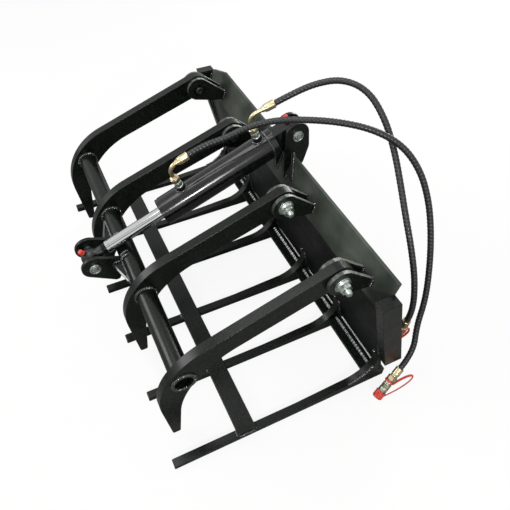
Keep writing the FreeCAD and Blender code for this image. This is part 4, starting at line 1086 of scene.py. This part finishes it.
def seen_in_mirrors(tree, rays):
    """1 for rays that have met metal or glass, so that those show the white surroundings too."""
    return add(tree, "Math", {"operation": "ADD", "use_clamp": True},
               {0: rays.outputs["Is Glossy Ray"], 1: rays.outputs["Is Transmission Ray"]})


# World: a soft white light, shown at full white to the camera and in mirrors
world = bpy.data.worlds.new("studio")
bpy.context.scene.world = world
world.use_nodes = True
sky = world.node_tree
rays = add(sky, "LightPath")
mirrors = seen_in_mirrors(sky, rays)
shown = add(sky, "Math", {"operation": "ADD", "use_clamp": True},
            {0: rays.outputs["Is Camera Ray"], 1: mirrors.outputs["Value"]})
soft = sky.nodes["Background"]
soft.inputs["Color"].default_value = colour("#ffffff")
soft.inputs["Strength"].default_value = 0.4
white = add(sky, "Background", {"Color": colour("#ffffff"), "Strength": 1.0})
both = add(sky, "MixShader", None, {"Fac": shown.outputs["Value"], 1: soft.outputs["Background"],
                                    2: white.outputs["Background"]})
sky.links.new(both.outputs["Shader"], sky.nodes["World Output"].inputs["Surface"])

# Floor: white to the camera with the object's soft shadow kept, greyer to what it lights
floor_material = bpy.data.materials.new("pale_studio_floor")
floor_material.use_nodes = True
tree = floor_material.node_tree
shader = tree.nodes["Principled BSDF"]
shader.inputs["Roughness"].default_value = 0.9
shader.inputs["Specular IOR Level"].default_value = 0.0
rays = add(tree, "LightPath")
mirrors = seen_in_mirrors(tree, rays)
partly = add(tree, "Math", {"operation": "MULTIPLY", 1: 0.17}, {0: mirrors.outputs["Value"]})
pale = add(tree, "Math", {"operation": "ADD", "use_clamp": True},
           {0: rays.outputs["Is Camera Ray"], 1: partly.outputs["Value"]})
tone = add(tree, "Mix", {"data_type": "RGBA", 6: colour("#747472"), 7: colour("#f8f8f6")},
           {0: pale.outputs["Value"]})
tree.links.new(tone.outputs[2], shader.inputs["Base Color"])
glow = add(tree, "Emission", {"Color": colour("#ffffff"), "Strength": 1.0})
share = add(tree, "Math", {"operation": "MULTIPLY", 1: 0.88}, {0: rays.outputs["Is Camera Ray"]})
both = add(tree, "MixShader", None, {"Fac": share.outputs["Value"], 1: shader.outputs["BSDF"],
                                     2: glow.outputs["Emission"]})
tree.links.new(both.outputs["Shader"], tree.nodes["Material Output"].inputs["Surface"])

FLOOR_HALF = 8.0
FLOOR_Z = -0.0005
floor_data = bpy.data.meshes.new("studio_floor")
corners = [(x * FLOOR_HALF, y * FLOOR_HALF, FLOOR_Z) for x, y in ((-1, -1), (1, -1), (1, 1), (-1, 1))]
floor_data.from_pydata(corners, [], [(0, 1, 2, 3)])
floor_data.materials.append(floor_material)
floor = bpy.data.objects.new("studio_floor", floor_data)
bpy.context.scene.collection.objects.link(floor)

# Lights: wide soft ones above and in front, two behind the plate for its edges and the ears', and
# a small one from the +X end that picks out edges and welds
for name, place, aim, size, power in (
        ("ceiling", (-0.3, -0.8, 3.2), (0, 0, 0.3), 1.4, 24.0),
        ("front", (-1.5, -2.8, 1.9), (-0.2, -0.5, 0.1), 1.4, 46.0),
        ("rim", (-2.1, 2.9, 0.75), (0, 0, 0.45), 1.4, 36.0),
        ("rear", (-1.4, 2.4, 1.9), (0.1, 0.2, 0.45), 0.9, 26.0),
        ("edge", (2.6, -0.7, 1.9), (0, 0, 0.3), 0.35, 34.0)):
    data = bpy.data.lights.new(name, "AREA")
    data.size = size
    data.energy = power
    light = bpy.data.objects.new(name, data)
    light.location = place
    light.rotation_euler = (Vector(aim) - Vector(place)).to_track_quat("-Z", "Y").to_euler()
    bpy.context.scene.collection.objects.link(light)

# Camera: at the photograph's viewing angle
camera_data = bpy.data.cameras.new("camera")
camera_data.lens = 37.26
camera_data.sensor_width = 36.0
camera_data.clip_start = 0.05
camera_data.clip_end = 60.0
camera = bpy.data.objects.new("camera", camera_data)
right = Vector((0.43552, 0.89991, 0.02183))
up = Vector((-0.68903, 0.31766, 0.65140))
ahead = Vector((-0.57927, 0.29874, -0.75842))
eye = Vector((1.1695, -0.4273, 1.5942))
camera.matrix_world = Matrix((
    (right.x, up.x, -ahead.x, eye.x),
    (right.y, up.y, -ahead.y, eye.y),
    (right.z, up.z, -ahead.z, eye.z),
    (0, 0, 0, 1),
))
bpy.context.scene.collection.objects.link(camera)
bpy.context.scene.camera = camera
bpy.context.scene.view_settings.view_transform = "Standard"
